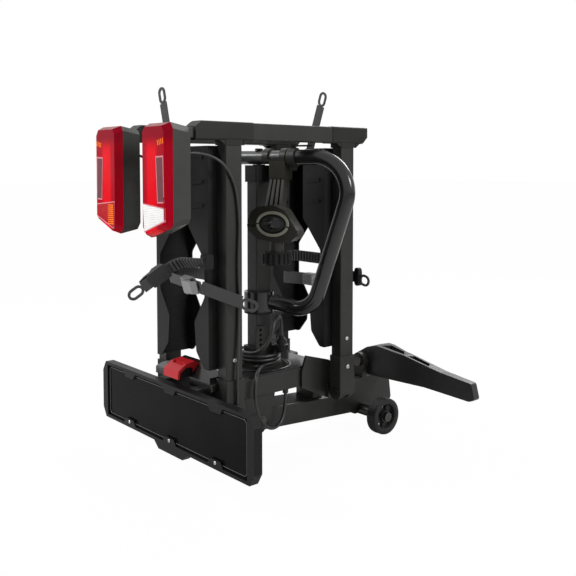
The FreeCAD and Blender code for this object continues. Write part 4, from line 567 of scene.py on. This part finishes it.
def carried(path, profile, wide):
    """A profile carried along a path: place + a * wide way + b * thick way, where thick = wide x heading.

    path is n x 3; profile is m x 2 or, where it changes along the path, n x m x 2."""
    path = np.asarray(path, float)
    heading = np.gradient(path, axis=0)
    heading /= np.linalg.norm(heading, axis=1, keepdims=True)
    wide = np.broadcast_to(np.asarray(wide, float), path.shape)
    wide = wide - heading * (wide * heading).sum(1, keepdims=True)
    wide = wide / np.linalg.norm(wide, axis=1, keepdims=True)
    thick = np.cross(wide, heading)
    profile = np.broadcast_to(np.asarray(profile, float), (len(path), np.shape(profile)[-2], 2))
    return path[:, None] + profile[..., :1] * wide[:, None] + profile[..., 1:] * thick[:, None]


# %% [markdown]
# A ratchet strap is a flat moulded band. Cloth simulation would suit webbing, but this band is stiff, so
# its path is straight runs and round bends. Its cross-section is a rounded rectangle whose top rises in saw
# teeth where the buckle grips. The end has a finger slot with a raised rim: the same idea, carried round a
# racetrack.

# %% Strap shapes
STRAP_W, STRAP_T, STRAP_EDGE = 0.025, 0.0024, 0.0005
TOOTH_PITCH, TOOTH_H, TOOTH_SHARE, TOOTH_FLANK = 0.0095, 0.0042, 0.62, 8
BEND_POINTS, PATH_STEP = 24, 0.0005


def distances(run):
    """How far along a path each of its points lies."""
    return np.concatenate([[0], np.cumsum(np.linalg.norm(np.diff(run, axis=0), axis=1))])


def bent(points, radii):
    """Points along straight runs joined by tangent arcs: an arc of radius r starts r / tan(half) from its
    corner, where half is half the angle between the two runs."""
    points = [np.array(point, float) for point in points]
    run = [points[0]]
    for before, corner, after, radius in zip(points, points[1:], points[2:], radii):
        back, on = (before - corner), (after - corner)
        back, on = back / np.linalg.norm(back), on / np.linalg.norm(on)
        half = math.acos(np.clip(back @ on, -1, 1)) / 2
        centre = corner + (back + on) / np.linalg.norm(back + on) * radius / math.sin(half)
        first, last = corner + back * radius / math.tan(half), corner + on * radius / math.tan(half)
        share = np.linspace(0, 1, BEND_POINTS)[:, None]
        a, b = (first - centre) / radius, (last - centre) / radius
        sweep = math.acos(np.clip(a @ b, -1, 1))
        turned = (np.sin((1 - share) * sweep) * a + np.sin(share * sweep) * b) / math.sin(sweep)
        run.extend(centre + radius * turned)
    run.append(points[-1])
    run = np.array(run)
    far = distances(run)
    even = np.linspace(0, far[-1], int(far[-1] / PATH_STEP) + 2)
    return np.stack([np.interp(even, far, run[:, axis]) for axis in range(3)], axis=1)


def strap_profile(path, teeth_until=0.0):
    """A rounded band w wide and t thick. Within teeth_until of the start it has ribs: with s the share of a
    pitch, the rise is the tooth's height times the least of 1, 8 s and 8 (0.62 - s)."""
    far = distances(path)
    saw = (far / TOOTH_PITCH) % 1.0
    ramp = np.clip(np.minimum(TOOTH_FLANK * saw, TOOTH_FLANK * (TOOTH_SHARE - saw)), 0, 1)
    rise = np.where(far < teeth_until, TOOTH_H * ramp, 0.0)
    w, t, edge = STRAP_W / 2, STRAP_T / 2, STRAP_EDGE
    outline = [(-w, -t + edge), (-w + edge, -t), (w - edge, -t), (w, -t + edge), (w, t - edge),
               (w - edge, t), (w * 0.88, t), (w * 0.84, t), (-w * 0.84, t), (-w * 0.88, t), (-w + edge, t),
               (-w, t - edge)]
    profile = np.broadcast_to(np.array(outline), (len(path), len(outline), 2)).copy()
    profile[:, 7:9, 1] += rise[:, None]
    return profile


# %% Finger slots
SLOT_LENGTH, SLOT_R, SLOT_RIM_W, SLOT_RAISED = 0.036, 0.0097, 0.0027, 0.0004
BAND_BEFORE_END = 0.0345


def slot_rim(start, way, wide, length, slot=SLOT_LENGTH, r=SLOT_R, w=SLOT_RIM_W):
    """A racetrack round the finger slot: two half circles, centre + r (cos a, sin a), in the strap's plane."""
    way, wide = np.array(way, float) / np.linalg.norm(way), np.array(wide, float)
    wide = wide - way * (wide @ way)
    wide /= np.linalg.norm(wide)
    near, far = length - slot + r + w, length - r - w
    a = np.linspace(0, np.pi, BEND_POINTS)
    along = np.concatenate([far + r * np.sin(a), near - r * np.sin(a)])
    aside = np.concatenate([r * np.cos(a), -r * np.cos(a)])
    track = np.array(start) + along[:, None] * way + aside[:, None] * wide
    thick = np.cross(wide, way)
    centre = np.where(along > (near + far) / 2, far, near)
    out = (along - centre)[:, None] * way + aside[:, None] * wide
    straight = (along <= far) & (along >= near)
    out[straight] = aside[straight, None] * wide
    out /= np.linalg.norm(out, axis=1, keepdims=True)
    t, edge = STRAP_T / 2 + SLOT_RAISED, SLOT_RAISED
    outline = np.array([(-w, -t), (w - edge, -t), (w, -t + edge), (w, t - edge), (w - edge, t), (-w, t)])
    return track[:, None] + outline[:, :1] * out[:, None] + outline[:, 1:] * thick


def band(name, body, run, wide, teeth_until=0.0):
    """A strap's band along a path."""
    return surface(name, [carried(run, strap_profile(run, teeth_until), wide)], body, "strap_rubber")


def rim(name, body, grid):
    """A slot's rim, closed both ways."""
    return surface(name, [grid], body, "strap_rubber", closed_rows=True, capped=False)


def strap(name, body, points, radii, wide, tail_way, tail_length, teeth_until=0.0):
    """A band up to the finger slot, and the slot's rim; the last point is where the straight tail begins."""
    tail_way = np.array(tail_way, float) / np.linalg.norm(tail_way)
    tip = np.array(points[-1]) + tail_way * (tail_length - BAND_BEFORE_END)
    corners = points[:-1] if radii else points
    piece = band(name, body, bent([*corners, tip], radii), wide, teeth_until)
    rim(name + "_slot", body, slot_rim(points[-1], tail_way, wide, tail_length))
    return piece


# %% [markdown]
# The right wing's two straps lie in planes that slope with y, as they do in the photograph, where they lean
# on the tray. The first has the teeth, and the second goes round the tray's back as a loop and ends in a
# tail.

# %% Straps of the right rear tray
TOOTHED_Z, TOOTHED_FALL, LOOP_Z, LOOP_FALL, SLOPE_FROM_Y = 0.395, 0.75, 0.345, 0.3, -0.570
TOOTHED_BEND_R, LOOP_BEND_R = 0.040, 0.015


def on_slope(places, z, fall):
    """Points of a strap's sloping plane: z + fall (y - y0)."""
    return [(x, y, z + fall * (y - SLOPE_FROM_Y)) for x, y in places]


tooth_points = on_slope([(0.110, -0.576), (0.018, -0.582), (0.0, -0.628)], TOOTHED_Z, TOOTHED_FALL)
tooth_way = np.subtract(tooth_points[2], tooth_points[1])
tooth_strap = strap("strap_toothed", "wing_right", tooth_points, [TOOTHED_BEND_R], (0, -TOOTHED_FALL, 1),
                    tooth_way, 0.062, teeth_until=0.106)
loop_places = [(0.093, -0.530), (-0.052, -0.530), (-0.052, -0.563), (0.100, -0.580)]
loop_points = on_slope(loop_places, LOOP_Z, LOOP_FALL)
band("strap_loop", "wing_right", bent(loop_points, [LOOP_BEND_R] * 2), (0, -LOOP_FALL, 1))
tail_start = np.add(loop_points[-1], (-0.004, 0.00045, 0))
strap("strap_loop_tail", "wing_right", [tuple(tail_start)], [], (0, 0, 1), (0.66, 0.75, -0.37), 0.120)
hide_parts("straps_rear_right")
print("right rear straps made")

# %% Standing straps of the left wing
rear_tail = strap("strap_rear_left_tail", "wing_left", [(-0.026, -0.5666, 0.598)], [], (1, 0, 0),
                  (-0.27, 0, 1), 0.154)
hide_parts("strap_rear_left")
front_tail = strap("strap_front_left_tail", "wing_left", [(-0.072, -0.1564, 0.560)], [], (1, 0, 0),
                   (0.37, 0, 1), 0.210)
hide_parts("strap_front_left")
print("left wing's straps made")

# %% [markdown]
# The right front tray has the same two straps, and they show between the posts. They have no solids, so
# they are made here whole: a low loop, a toothed band above it, and an end that comes out in front with its
# slot.

# %% Straps of the right front tray
low_run = bent([(0.094, -0.2487, 0.326), (-0.021, -0.2487, 0.322), (-0.021, -0.2675, 0.322),
                (0.088, -0.2700, 0.328)], [0.009, 0.009])
high_run = bent([(0.094, -0.2487, 0.374), (-0.004, -0.2487, 0.374), (-0.034, -0.2600, 0.365)], [0.03])
end_run = np.linspace((0.070, -0.1576, 0.3265), (0.118, -0.1576, 0.3265), 12)
band("strap_front_right_loop", "wing_right", low_run, (0, 0, 1))
band("strap_front_right_teeth", "wing_right", high_run, (0, 0, 1), 0.1)
band("strap_front_right_end", "wing_right", end_run, (0, 0, 1))
rim("strap_front_right_slot", "wing_right",
    slot_rim((0.1225, -0.1576, 0.3235), (1, 0, -0.2), (0, 0, 1), 0.031, 0.031, 0.0105))
print("right front straps made")

# %% [markdown]
# A strap has to end in something. The toothed strap leaves the tray through a moulded anchor block, and the
# two standing straps sit on small pads on the trays' walls. A cube with a bevel would do, but a
# superellipse has the soft, full corners of a moulding. Its outline, x to the power n plus y to the power n
# equals one, is carried along one axis with drawn-in ends.

# %% Anchor blocks
BLOCK_POINTS = 40


def block(low, high, axis, power=6.0, ends=0.001):
    """A block between two corners, its outline a superellipse and its ends drawn in a little."""
    low, high = np.array(low), np.array(high)
    centre, half = (low + high) / 2, (high - low) / 2
    a = np.linspace(0, 2 * np.pi, BLOCK_POINTS, endpoint=False)
    round_x = np.sign(np.cos(a)) * np.abs(np.cos(a)) ** (2 / power)
    round_y = np.sign(np.sin(a)) * np.abs(np.sin(a)) ** (2 / power)
    b, c = [i for i in range(3) if i != axis]
    rows = []
    reach = half[axis]
    for along, inset in ((-reach, ends), (-reach + ends, 0), (reach - ends, 0), (reach, ends)):
        ring = np.tile(centre, (BLOCK_POINTS, 1))
        ring[:, axis] += along
        ring[:, b] += (half[b] - inset) * round_x
        ring[:, c] += (half[c] - inset) * round_y
        rows.append(ring)
    return np.array(rows)


anchor = block((0.097, -0.582, 0.378), (0.117, -0.562, 0.408), 0)
pull = block((0.1085, -0.1640, 0.3065), (0.1255, -0.1510, 0.3480), 1, 3.5, 0.002)
buckle = block((0.056, -0.2765, 0.3135), (0.088, -0.2505, 0.3405), 0, 5.0, 0.002)
seats = [block((-0.037, -0.5654, 0.611), (-0.029, -0.562, 0.618), 1),
         block((-0.072, -0.161, 0.574), (-0.062, -0.1576, 0.586), 1)]
surface("strap_anchor", [anchor], "wing_right", "black_plastic")
surface("front_right_pull", [pull], "wing_right", "black_plastic")
surface("front_right_buckle", [buckle], "wing_right", "buckle_plastic")
surface("strap_seats", seats, "wing_left", "black_plastic")
print("anchor blocks made")

# %% [markdown]
# The lamps get their optics. A reflector is a panel of small pyramids behind a pale border, and a window is
# a panel with fine level ribs. A bump could fake both, but at this size their glints come from real facets.
# Both are reliefs: a quad between four corners, whose height is a function of the two shares u and v across
# it. The lower window is clear on the right, and red with amber bars on the left.

# %% Lamp finishes
GROOVE_SCALE = 95.0


def optic(name, colour, rough, glow=(0, 0, 0), lines=0.0):
    """A clear moulded optic with a thin coat; lines is how dark the painted shade in the level grooves is,
    and glow is a painted glow for an unlit part.
    """
    paint = Paint(name)
    base = two_tones(paint, colour, paint.noise(60, 3), 0.12)
    if lines:
        # painted shade: dark bands where the level grooves lie
        groove_shade = paint.bands("Z", GROOVE_SCALE) ** 4.0
        base = paint.mix(groove_shade * lines, base, tuple(c * 0.35 for c in colour))
    paint.finish(Base_Color=base, Roughness=rough, Specular_IOR_Level=0.06, Coat_Weight=0.02,
                 Coat_Roughness=0.05)
    # painted glow: an unlit optic is given a faint emission of its own
    if any(glow):
        paint.finish(Emission_Color=glow, Emission_Strength=0.15)
    return paint.material


optics = {
    "reflector": optic("lamp_reflector", (0.17, 0.060, 0.068), 0.22),
    "border": optic("lamp_border", (0.66, 0.22, 0.26), 0.3),
    "clear": optic("lamp_clear", (0.88, 0.87, 0.86), 0.2, lines=0.4),
    "foglamp": optic("lamp_red_window", (0.46, 0.002, 0.008), 0.16, lines=0.5),
    # the amber optic carries a painted glow, though the lamp is not lit
    "amber": optic("lamp_amber", (0.85, 0.16, 0.01), 0.2, (0.9, 0.3, 0.02)),
}
print(len(optics), "lamp finishes")

# %% Reliefs on the lens
LENS_FRONT_Y, LENS_FLAT_X, LENS_BEVEL = -0.684, 0.131, 16 / 7
RELIEF_ROOT = 0.001


def relief(corners, height, rows, cols):
    """A panel over a quad of (x, z) corners: front y minus height(u, v), with a rim that goes into the lens.

    Past LENS_FLAT_X the lens slopes back, 16 mm in 7, and the panel follows it."""
    v, u = np.meshgrid(np.linspace(0, 1, rows), np.linspace(0, 1, cols), indexing="ij")
    (ax, az), (bx, bz), (cx, cz), (dx, dz) = corners
    x = (1 - v) * ((1 - u) * ax + u * bx) + v * ((1 - u) * dx + u * cx)
    z = (1 - v) * ((1 - u) * az + u * bz) + v * ((1 - u) * dz + u * cz)
    y = LENS_FRONT_Y + np.maximum(0, np.abs(x) - LENS_FLAT_X) * LENS_BEVEL - height(u, v)
    grid = np.stack([x, y, z], axis=-1)
    padded = np.pad(grid, ((1, 1), (1, 1), (0, 0)), mode="edge")
    for edge in (np.s_[0, :, 1], np.s_[-1, :, 1], np.s_[:, 0, 1], np.s_[:, -1, 1]):
        padded[edge] += 0.0004 + RELIEF_ROOT
    return padded


def level(height):
    """The same height everywhere."""
    return lambda u, v: np.full_like(u, height)


def pyramids(across, down, tall=0.0004):
    """Small pyramids: the least distance to a cell's edge, in u and v."""
    def height(u, v):
        a, b = (u * across) % 1.0, (v * down) % 1.0
        return 0.0005 + tall * 2 * np.minimum(np.minimum(a, 1 - a), np.minimum(b, 1 - b))
    return height


def ribs(count, tall=0.0005):
    """Level ribs: the height is |sin(pi n v)|."""
    return lambda u, v: 0.0004 + tall * np.abs(np.sin(np.pi * count * v))


def lamp_part(name, side, parts, material):
    """Reliefs on one lamp's front, joined into one piece; side is 1 on the right and -1 on the left."""
    grids = [relief([(side * x, z) for x, z in corners], *shape) for corners, *shape in parts]
    piece = surface(name, grids, "wing_right" if side > 0 else "wing_left", "lens_red", closed_cols=False,
                    capped=False)
    piece.data.materials.clear()
    piece.data.materials.append(optics[material])


# %% Lamp optics
REFLECTOR = [(0.105, 0.596), (0.127, 0.597), (0.129, 0.515), (0.110, 0.514)]
REFLECTOR_RIM = [(0.103, 0.599), (0.1295, 0.600), (0.1312, 0.512), (0.108, 0.511)]
WINDOW = [(0.0565, 0.5075), (0.1300, 0.5010), (0.1300, 0.4790), (0.0610, 0.4560)]
WINDOW_RIM = [(0.0555, 0.5098), (0.1318, 0.5030), (0.1318, 0.4770), (0.0600, 0.4540)]
SPARK = [(0.0, 0.005), (0.0024, 0.0056), (0.0044, -0.0044), (0.002, -0.005)]
SPARKS, SPARK_AT, SPARK_STEP = 4, (0.1085, 0.6235), (0.0058, 0.0012)
BAR = [(0.060, 0.0015), (0.082, 0.0008), (0.082, -0.0008), (0.060, -0.0015)]
BAR_HEIGHTS = (0.464, 0.503, 0.0042)
flat = level(0.0004)
sparks = []
for number in range(SPARKS):
    x, z = SPARK_AT[0] + number * SPARK_STEP[0], SPARK_AT[1] + number * SPARK_STEP[1]
    sparks.append(([(x + dx, z + dz) for dx, dz in SPARK], flat, 2, 2))
for side, word in ((1, "right"), (-1, "left")):
    lamp_part("reflector_rim_" + word, side, [(REFLECTOR_RIM, flat, 2, 2)], "border")
    lamp_part("reflector_" + word, side, [(REFLECTOR, pyramids(8, 30), 121, 33)], "reflector")
    lamp_part("window_rim_" + word, side, [(WINDOW_RIM, flat, 2, 40)], "border")
    window = "clear" if side > 0 else "foglamp"
    lamp_part("lamp_window_" + word, side, [(WINDOW, ribs(15), 121, 40)], window)
    lamp_part("amber_spark_" + word, side, sparks, "amber")
bars = [([(x, z + dz) for x, dz in BAR], level(0.0013), 2, 2) for z in np.arange(*BAR_HEIGHTS)]
lamp_part("amber_bars_left", -1, bars, "amber")
print(len(bars), "amber bars and", SPARKS, "strokes on a lamp")

# %% [markdown]
# The clamp's mouth has a raised lip round it and dark teeth inside. A torus would be round, and this mouth
# is almond-shaped, so both are parts of elliptic rings, (A cos a, B sin a). They are drawn in the stowed
# hoop's own frame, which is turned by 22 degrees about the column. The upper part stays with the clamp's
# arm, and the lower part moves with the jaw.

# %% Clamp mouth
HOOP_TURN = math.radians(22)
MOUTH_AT, JAW_FACE_Y = (0.077, 0.459), -0.080
MOUTH_ROWS, MOUTH_TEETH, MOUTH_TOOTH_H = 121, 17, 0.0016


def elliptic(first, last, section):
    """Rows of a ring between two angles: x = A cos a, z = B sin a, for each (A, B, y) of the section."""
    a = np.radians(np.linspace(first, last, MOUTH_ROWS))[:, None]
    wide, high, y = [np.stack([np.broadcast_to(part, MOUTH_ROWS) for part in column], axis=1)
                     for column in zip(*section)]
    x, z = MOUTH_AT[0] + wide * np.cos(a), MOUTH_AT[1] + high * np.sin(a)
    c, s = math.cos(HOOP_TURN), math.sin(HOOP_TURN)
    return np.stack([x * c - y * s, COLUMN_Y + x * s + y * c, z], axis=-1)


teeth = MOUTH_TOOTH_H * (np.sin(np.linspace(0, 2 * MOUTH_TEETH * np.pi, MOUTH_ROWS)) > 0)
lip = [(0.0395, 0.0275, JAW_FACE_Y + 0.0005), (0.0385, 0.0265, JAW_FACE_Y - 0.0016),
       (0.0335, 0.0215, JAW_FACE_Y - 0.0016), (0.0322, 0.0202, JAW_FACE_Y + 0.0005)]
bite = [(0.0330, 0.0212, JAW_FACE_Y + 0.0004), (0.0330, 0.0212, JAW_FACE_Y - 0.0006),
        (0.0290 - teeth, 0.0172 - teeth, JAW_FACE_Y - 0.0002),
        (0.0286 - teeth, 0.0168 - teeth, JAW_FACE_Y + 0.010)]
for word, body, first, last in (("upper", "clamp", -9, 176), ("lower", "lower_jaw", 184, 343)):
    surface("mouth_lip_" + word, [elliptic(first, last, lip)], body, "liner_rubber")
    surface("mouth_teeth_" + word, [elliptic(first, last, bite)], body, "black_plastic")
print("clamp mouth with", MOUTH_TEETH, "teeth on each side")

# %% [markdown]
# Three small trims follow: a flat rim on the deck round the column, a bead round the board's sheet, and two
# webs that close the pedal's hood from the sides. They catch light along an edge, which a painted line
# wouldn't.

# %% Deck rim
DECK_RIM_R, DECK_RIM_POINTS = 0.0665, 120
rim_section = np.array([(-0.0045, 0.1341), (-0.0040, 0.1358), (-0.0022, 0.1368), (0.0022, 0.1368),
                        (0.0040, 0.1358), (0.0045, 0.1341)])
ring = np.linspace(0, 2 * np.pi, DECK_RIM_POINTS, endpoint=False)[:, None]
rim_r = DECK_RIM_R + rim_section[:, 0]
rim_z = np.broadcast_to(rim_section[:, 1], (DECK_RIM_POINTS, len(rim_section)))
rim_grid = np.stack([rim_r * np.cos(ring), COLUMN_Y + rim_r * np.sin(ring), rim_z], axis=-1)
surface("deck_rim", [rim_grid], "platform", "deck_sheet", closed_rows=True, capped=False, smooth=True)
print("deck rim", 2 * DECK_RIM_R, "m across")

# %% Sheet bead
SHEET_HALF_X, SHEET_MIDDLE_Z, SHEET_HALF_Z, SHEET_Y = 0.2580, 0.064, 0.0530, -0.5908
BEAD_CORNER_R, BEAD_R, BEAD_POINTS, BEAD_ROUND = 0.009, 0.0011, 96, 10
corner_a = np.linspace(0, 2 * np.pi, BEAD_POINTS, endpoint=False)[:, None]
bead_a = np.linspace(0, 2 * np.pi, BEAD_ROUND, endpoint=False)
side_x = np.sign(np.cos(corner_a)) * (SHEET_HALF_X - BEAD_CORNER_R) + BEAD_CORNER_R * np.cos(corner_a)
side_z = np.sign(np.sin(corner_a)) * (SHEET_HALF_Z - BEAD_CORNER_R) + BEAD_CORNER_R * np.sin(corner_a)
bead_y = np.broadcast_to(SHEET_Y + BEAD_R * np.sin(bead_a), (BEAD_POINTS, BEAD_ROUND))
bead_grid = np.stack([side_x + BEAD_R * np.cos(bead_a) * np.cos(corner_a), bead_y,
                      SHEET_MIDDLE_Z + side_z + BEAD_R * np.cos(bead_a) * np.sin(corner_a)], axis=-1)
bead = surface("sheet_bead", [bead_grid], "platform", "sheet_black", closed_rows=True, capped=False,
               smooth=True)
bead.data.materials[0] = glossy("bead_grey", (0.05, 0.05, 0.05), 0.2)
print("bead round the sheet made")

# %% Pedal webs
PEDAL_AXIS_Y, PEDAL_AXIS_Z = -0.544, 0.156
WEB_INNER_X, WEB_OUTER_X = 0.0215, 0.0245
web_side = np.array([(-0.0420, -0.0115), (-0.0392, 0.0012), (-0.0242, 0.0112), (-0.0080, 0.0082),
                     (-0.0080, -0.0068)]) + (PEDAL_AXIS_Y, PEDAL_AXIS_Z)
webs = []
for x0, x1 in ((WEB_INNER_X, WEB_OUTER_X), (-WEB_OUTER_X, -WEB_INNER_X)):
    webs.append(np.stack([np.insert(web_side, 0, x, axis=1) for x in (x0, x1)]))
surface("pedal_webs", webs, "foot_pedal", "black_plastic")
print(len(webs), "pedal webs made")

# %% [markdown]
# The tyre's tread is a ring: a crowned profile turned about the axle. Grooves cut with booleans would be
# slow on a round body, so the radius itself drops wherever the cosine of the angle goes below a limit.

# %% Tyre treads
WHEEL_Y, WHEEL_Z, WHEEL_OUTER_X, WHEEL_W, WHEEL_R = -0.066, -0.017, 0.127, 0.028, 0.043
TREAD_POINTS, TREAD_BLOCKS, TREAD_ROOT, GROOVE_DEPTH = 240, 30, 0.006, 0.0006
TREAD_ACROSS = np.array([
    (-0.98, -0.0042), (-0.9, -0.0006), (-0.62, 0.0002), (-0.5, 0.0003), (-0.14, 0.0003), (-0.1, -0.0006),
    (0.1, -0.0006), (0.14, 0.0003), (0.5, 0.0003), (0.62, 0.0002), (0.9, -0.0006), (0.98, -0.0042)])


def tread(side):
    """Radius over angle a and width w: R + 0.3 mm, 0.6 mm less in the grooves, drawn in at the shoulders."""
    a = np.linspace(0, 2 * np.pi, TREAD_POINTS, endpoint=False)[:, None]
    share, crown = TREAD_ACROSS.T
    grooved = (np.cos(a * TREAD_BLOCKS + np.sign(share) * 0.8) < -0.6) * (np.abs(share) < 0.8)
    radius = WHEEL_R + crown - GROOVE_DEPTH * grooved
    x = side * (WHEEL_OUTER_X - WHEEL_W / 2 + share * WHEEL_W / 2)
    outer = np.stack([np.broadcast_to(x, radius.shape), WHEEL_Y + radius * np.cos(a),
                      WHEEL_Z + radius * np.sin(a)], axis=-1)
    inner = outer[:, [-1, 0]].copy()
    inner[..., 1] = WHEEL_Y + (WHEEL_R - TREAD_ROOT) * np.cos(a)
    inner[..., 2] = WHEEL_Z + (WHEEL_R - TREAD_ROOT) * np.sin(a)
    return np.concatenate([outer, inner], axis=1)


for side, word in ((1, "right"), (-1, "left")):
    surface("tread_" + word, [tread(side)], word + "_wheel", "wheel_plastic", closed_rows=True,
            capped=False)
print("treads of", TREAD_BLOCKS, "blocks")

# %% [markdown]
# Screws hold the board's tabs, the posts and the deck. A screw's head is turned: its radius and height run
# from the hollow of the drive, over the dome, to the rim. The drive is a hexagon, whose radius at angle a
# is r / cos(a mod 60 - 30 degrees), so the whole head is one surface and needs no boolean.

# %% Screw heads
HEAD_POINTS = 36


def screw_head(place, way, radius, height):
    """Rings of a button head: hexagon hollow, dome and rim, standing on place and facing along way."""
    way = np.array(way, float) / np.linalg.norm(way)
    side = np.cross(way, (0, 0, 1) if abs(way[2]) < 0.9 else (1, 0, 0))
    side /= np.linalg.norm(side)
    other = np.cross(way, side)
    a = np.linspace(0, 2 * np.pi, HEAD_POINTS, endpoint=False)
    hexagon, circle = 1 / np.cos((a % (np.pi / 3)) - np.pi / 6), np.ones(HEAD_POINTS)
    rings = [(0.05 * hexagon, 0.35), (0.42 * hexagon, 0.35), (0.45 * hexagon, 0.97), (0.62 * circle, 0.98),
             (0.82 * circle, 0.86), (0.95 * circle, 0.55), (circle, 0.2), (circle, -0.1)]
    around = np.cos(a)[:, None] * side + np.sin(a)[:, None] * other
    return np.array([np.array(place) + radius * share[:, None] * around + way * height * up
                     for share, up in rings])


# %% Screws
REAR_POST_Y, FRONT_POST_Y, POST_SCREW_Z, FOOT_SCREW_Z = -0.520, -0.2035, 0.192, 0.128
right_screws = [screw_head((0.127, FRONT_POST_Y, POST_SCREW_Z), (1, 0, 0), 0.0045, 0.0022),
                screw_head((0.127, REAR_POST_Y, POST_SCREW_Z), (1, 0, 0), 0.0045, 0.0022),
                screw_head((0.130, FRONT_POST_Y, FOOT_SCREW_Z), (1, 0, 0), 0.0050, 0.0025)]
left_screws = [grid * (-1, 1, 1) for grid in right_screws]
board_screws = [screw_head((x, -0.595, 0.012), (0, -1, 0), 0.0036, 0.0018) for x in (-0.163, 0.0, 0.163)]
deck_bolts = [screw_head((x, y, 0.138), (0, 0, 1), 0.0065, 0.0035)
              for x in (-0.059, 0.059) for y in (-0.462, -0.262)]
shoe_bolts = [screw_head((x, COLUMN_Y + y, 0.140), (0, 0, 1), 0.0042, 0.003)
              for x in (-0.031, 0.031) for y in (-0.0325, 0.0325)]
zinc = plated("zinc_plate")
for name, heads, body in (("post_screws_right", right_screws, "wing_right"),
                          ("post_screws_left", left_screws, "wing_left"),
                          ("board_screws", board_screws, "platform")):
    surface(name, heads, body, "bright_steel").data.materials[0] = zinc
surface("deck_bolts", deck_bolts + shoe_bolts, "platform", "bright_steel")
print(len(right_screws + left_screws + board_screws + deck_bolts + shoe_bolts), "screw heads")
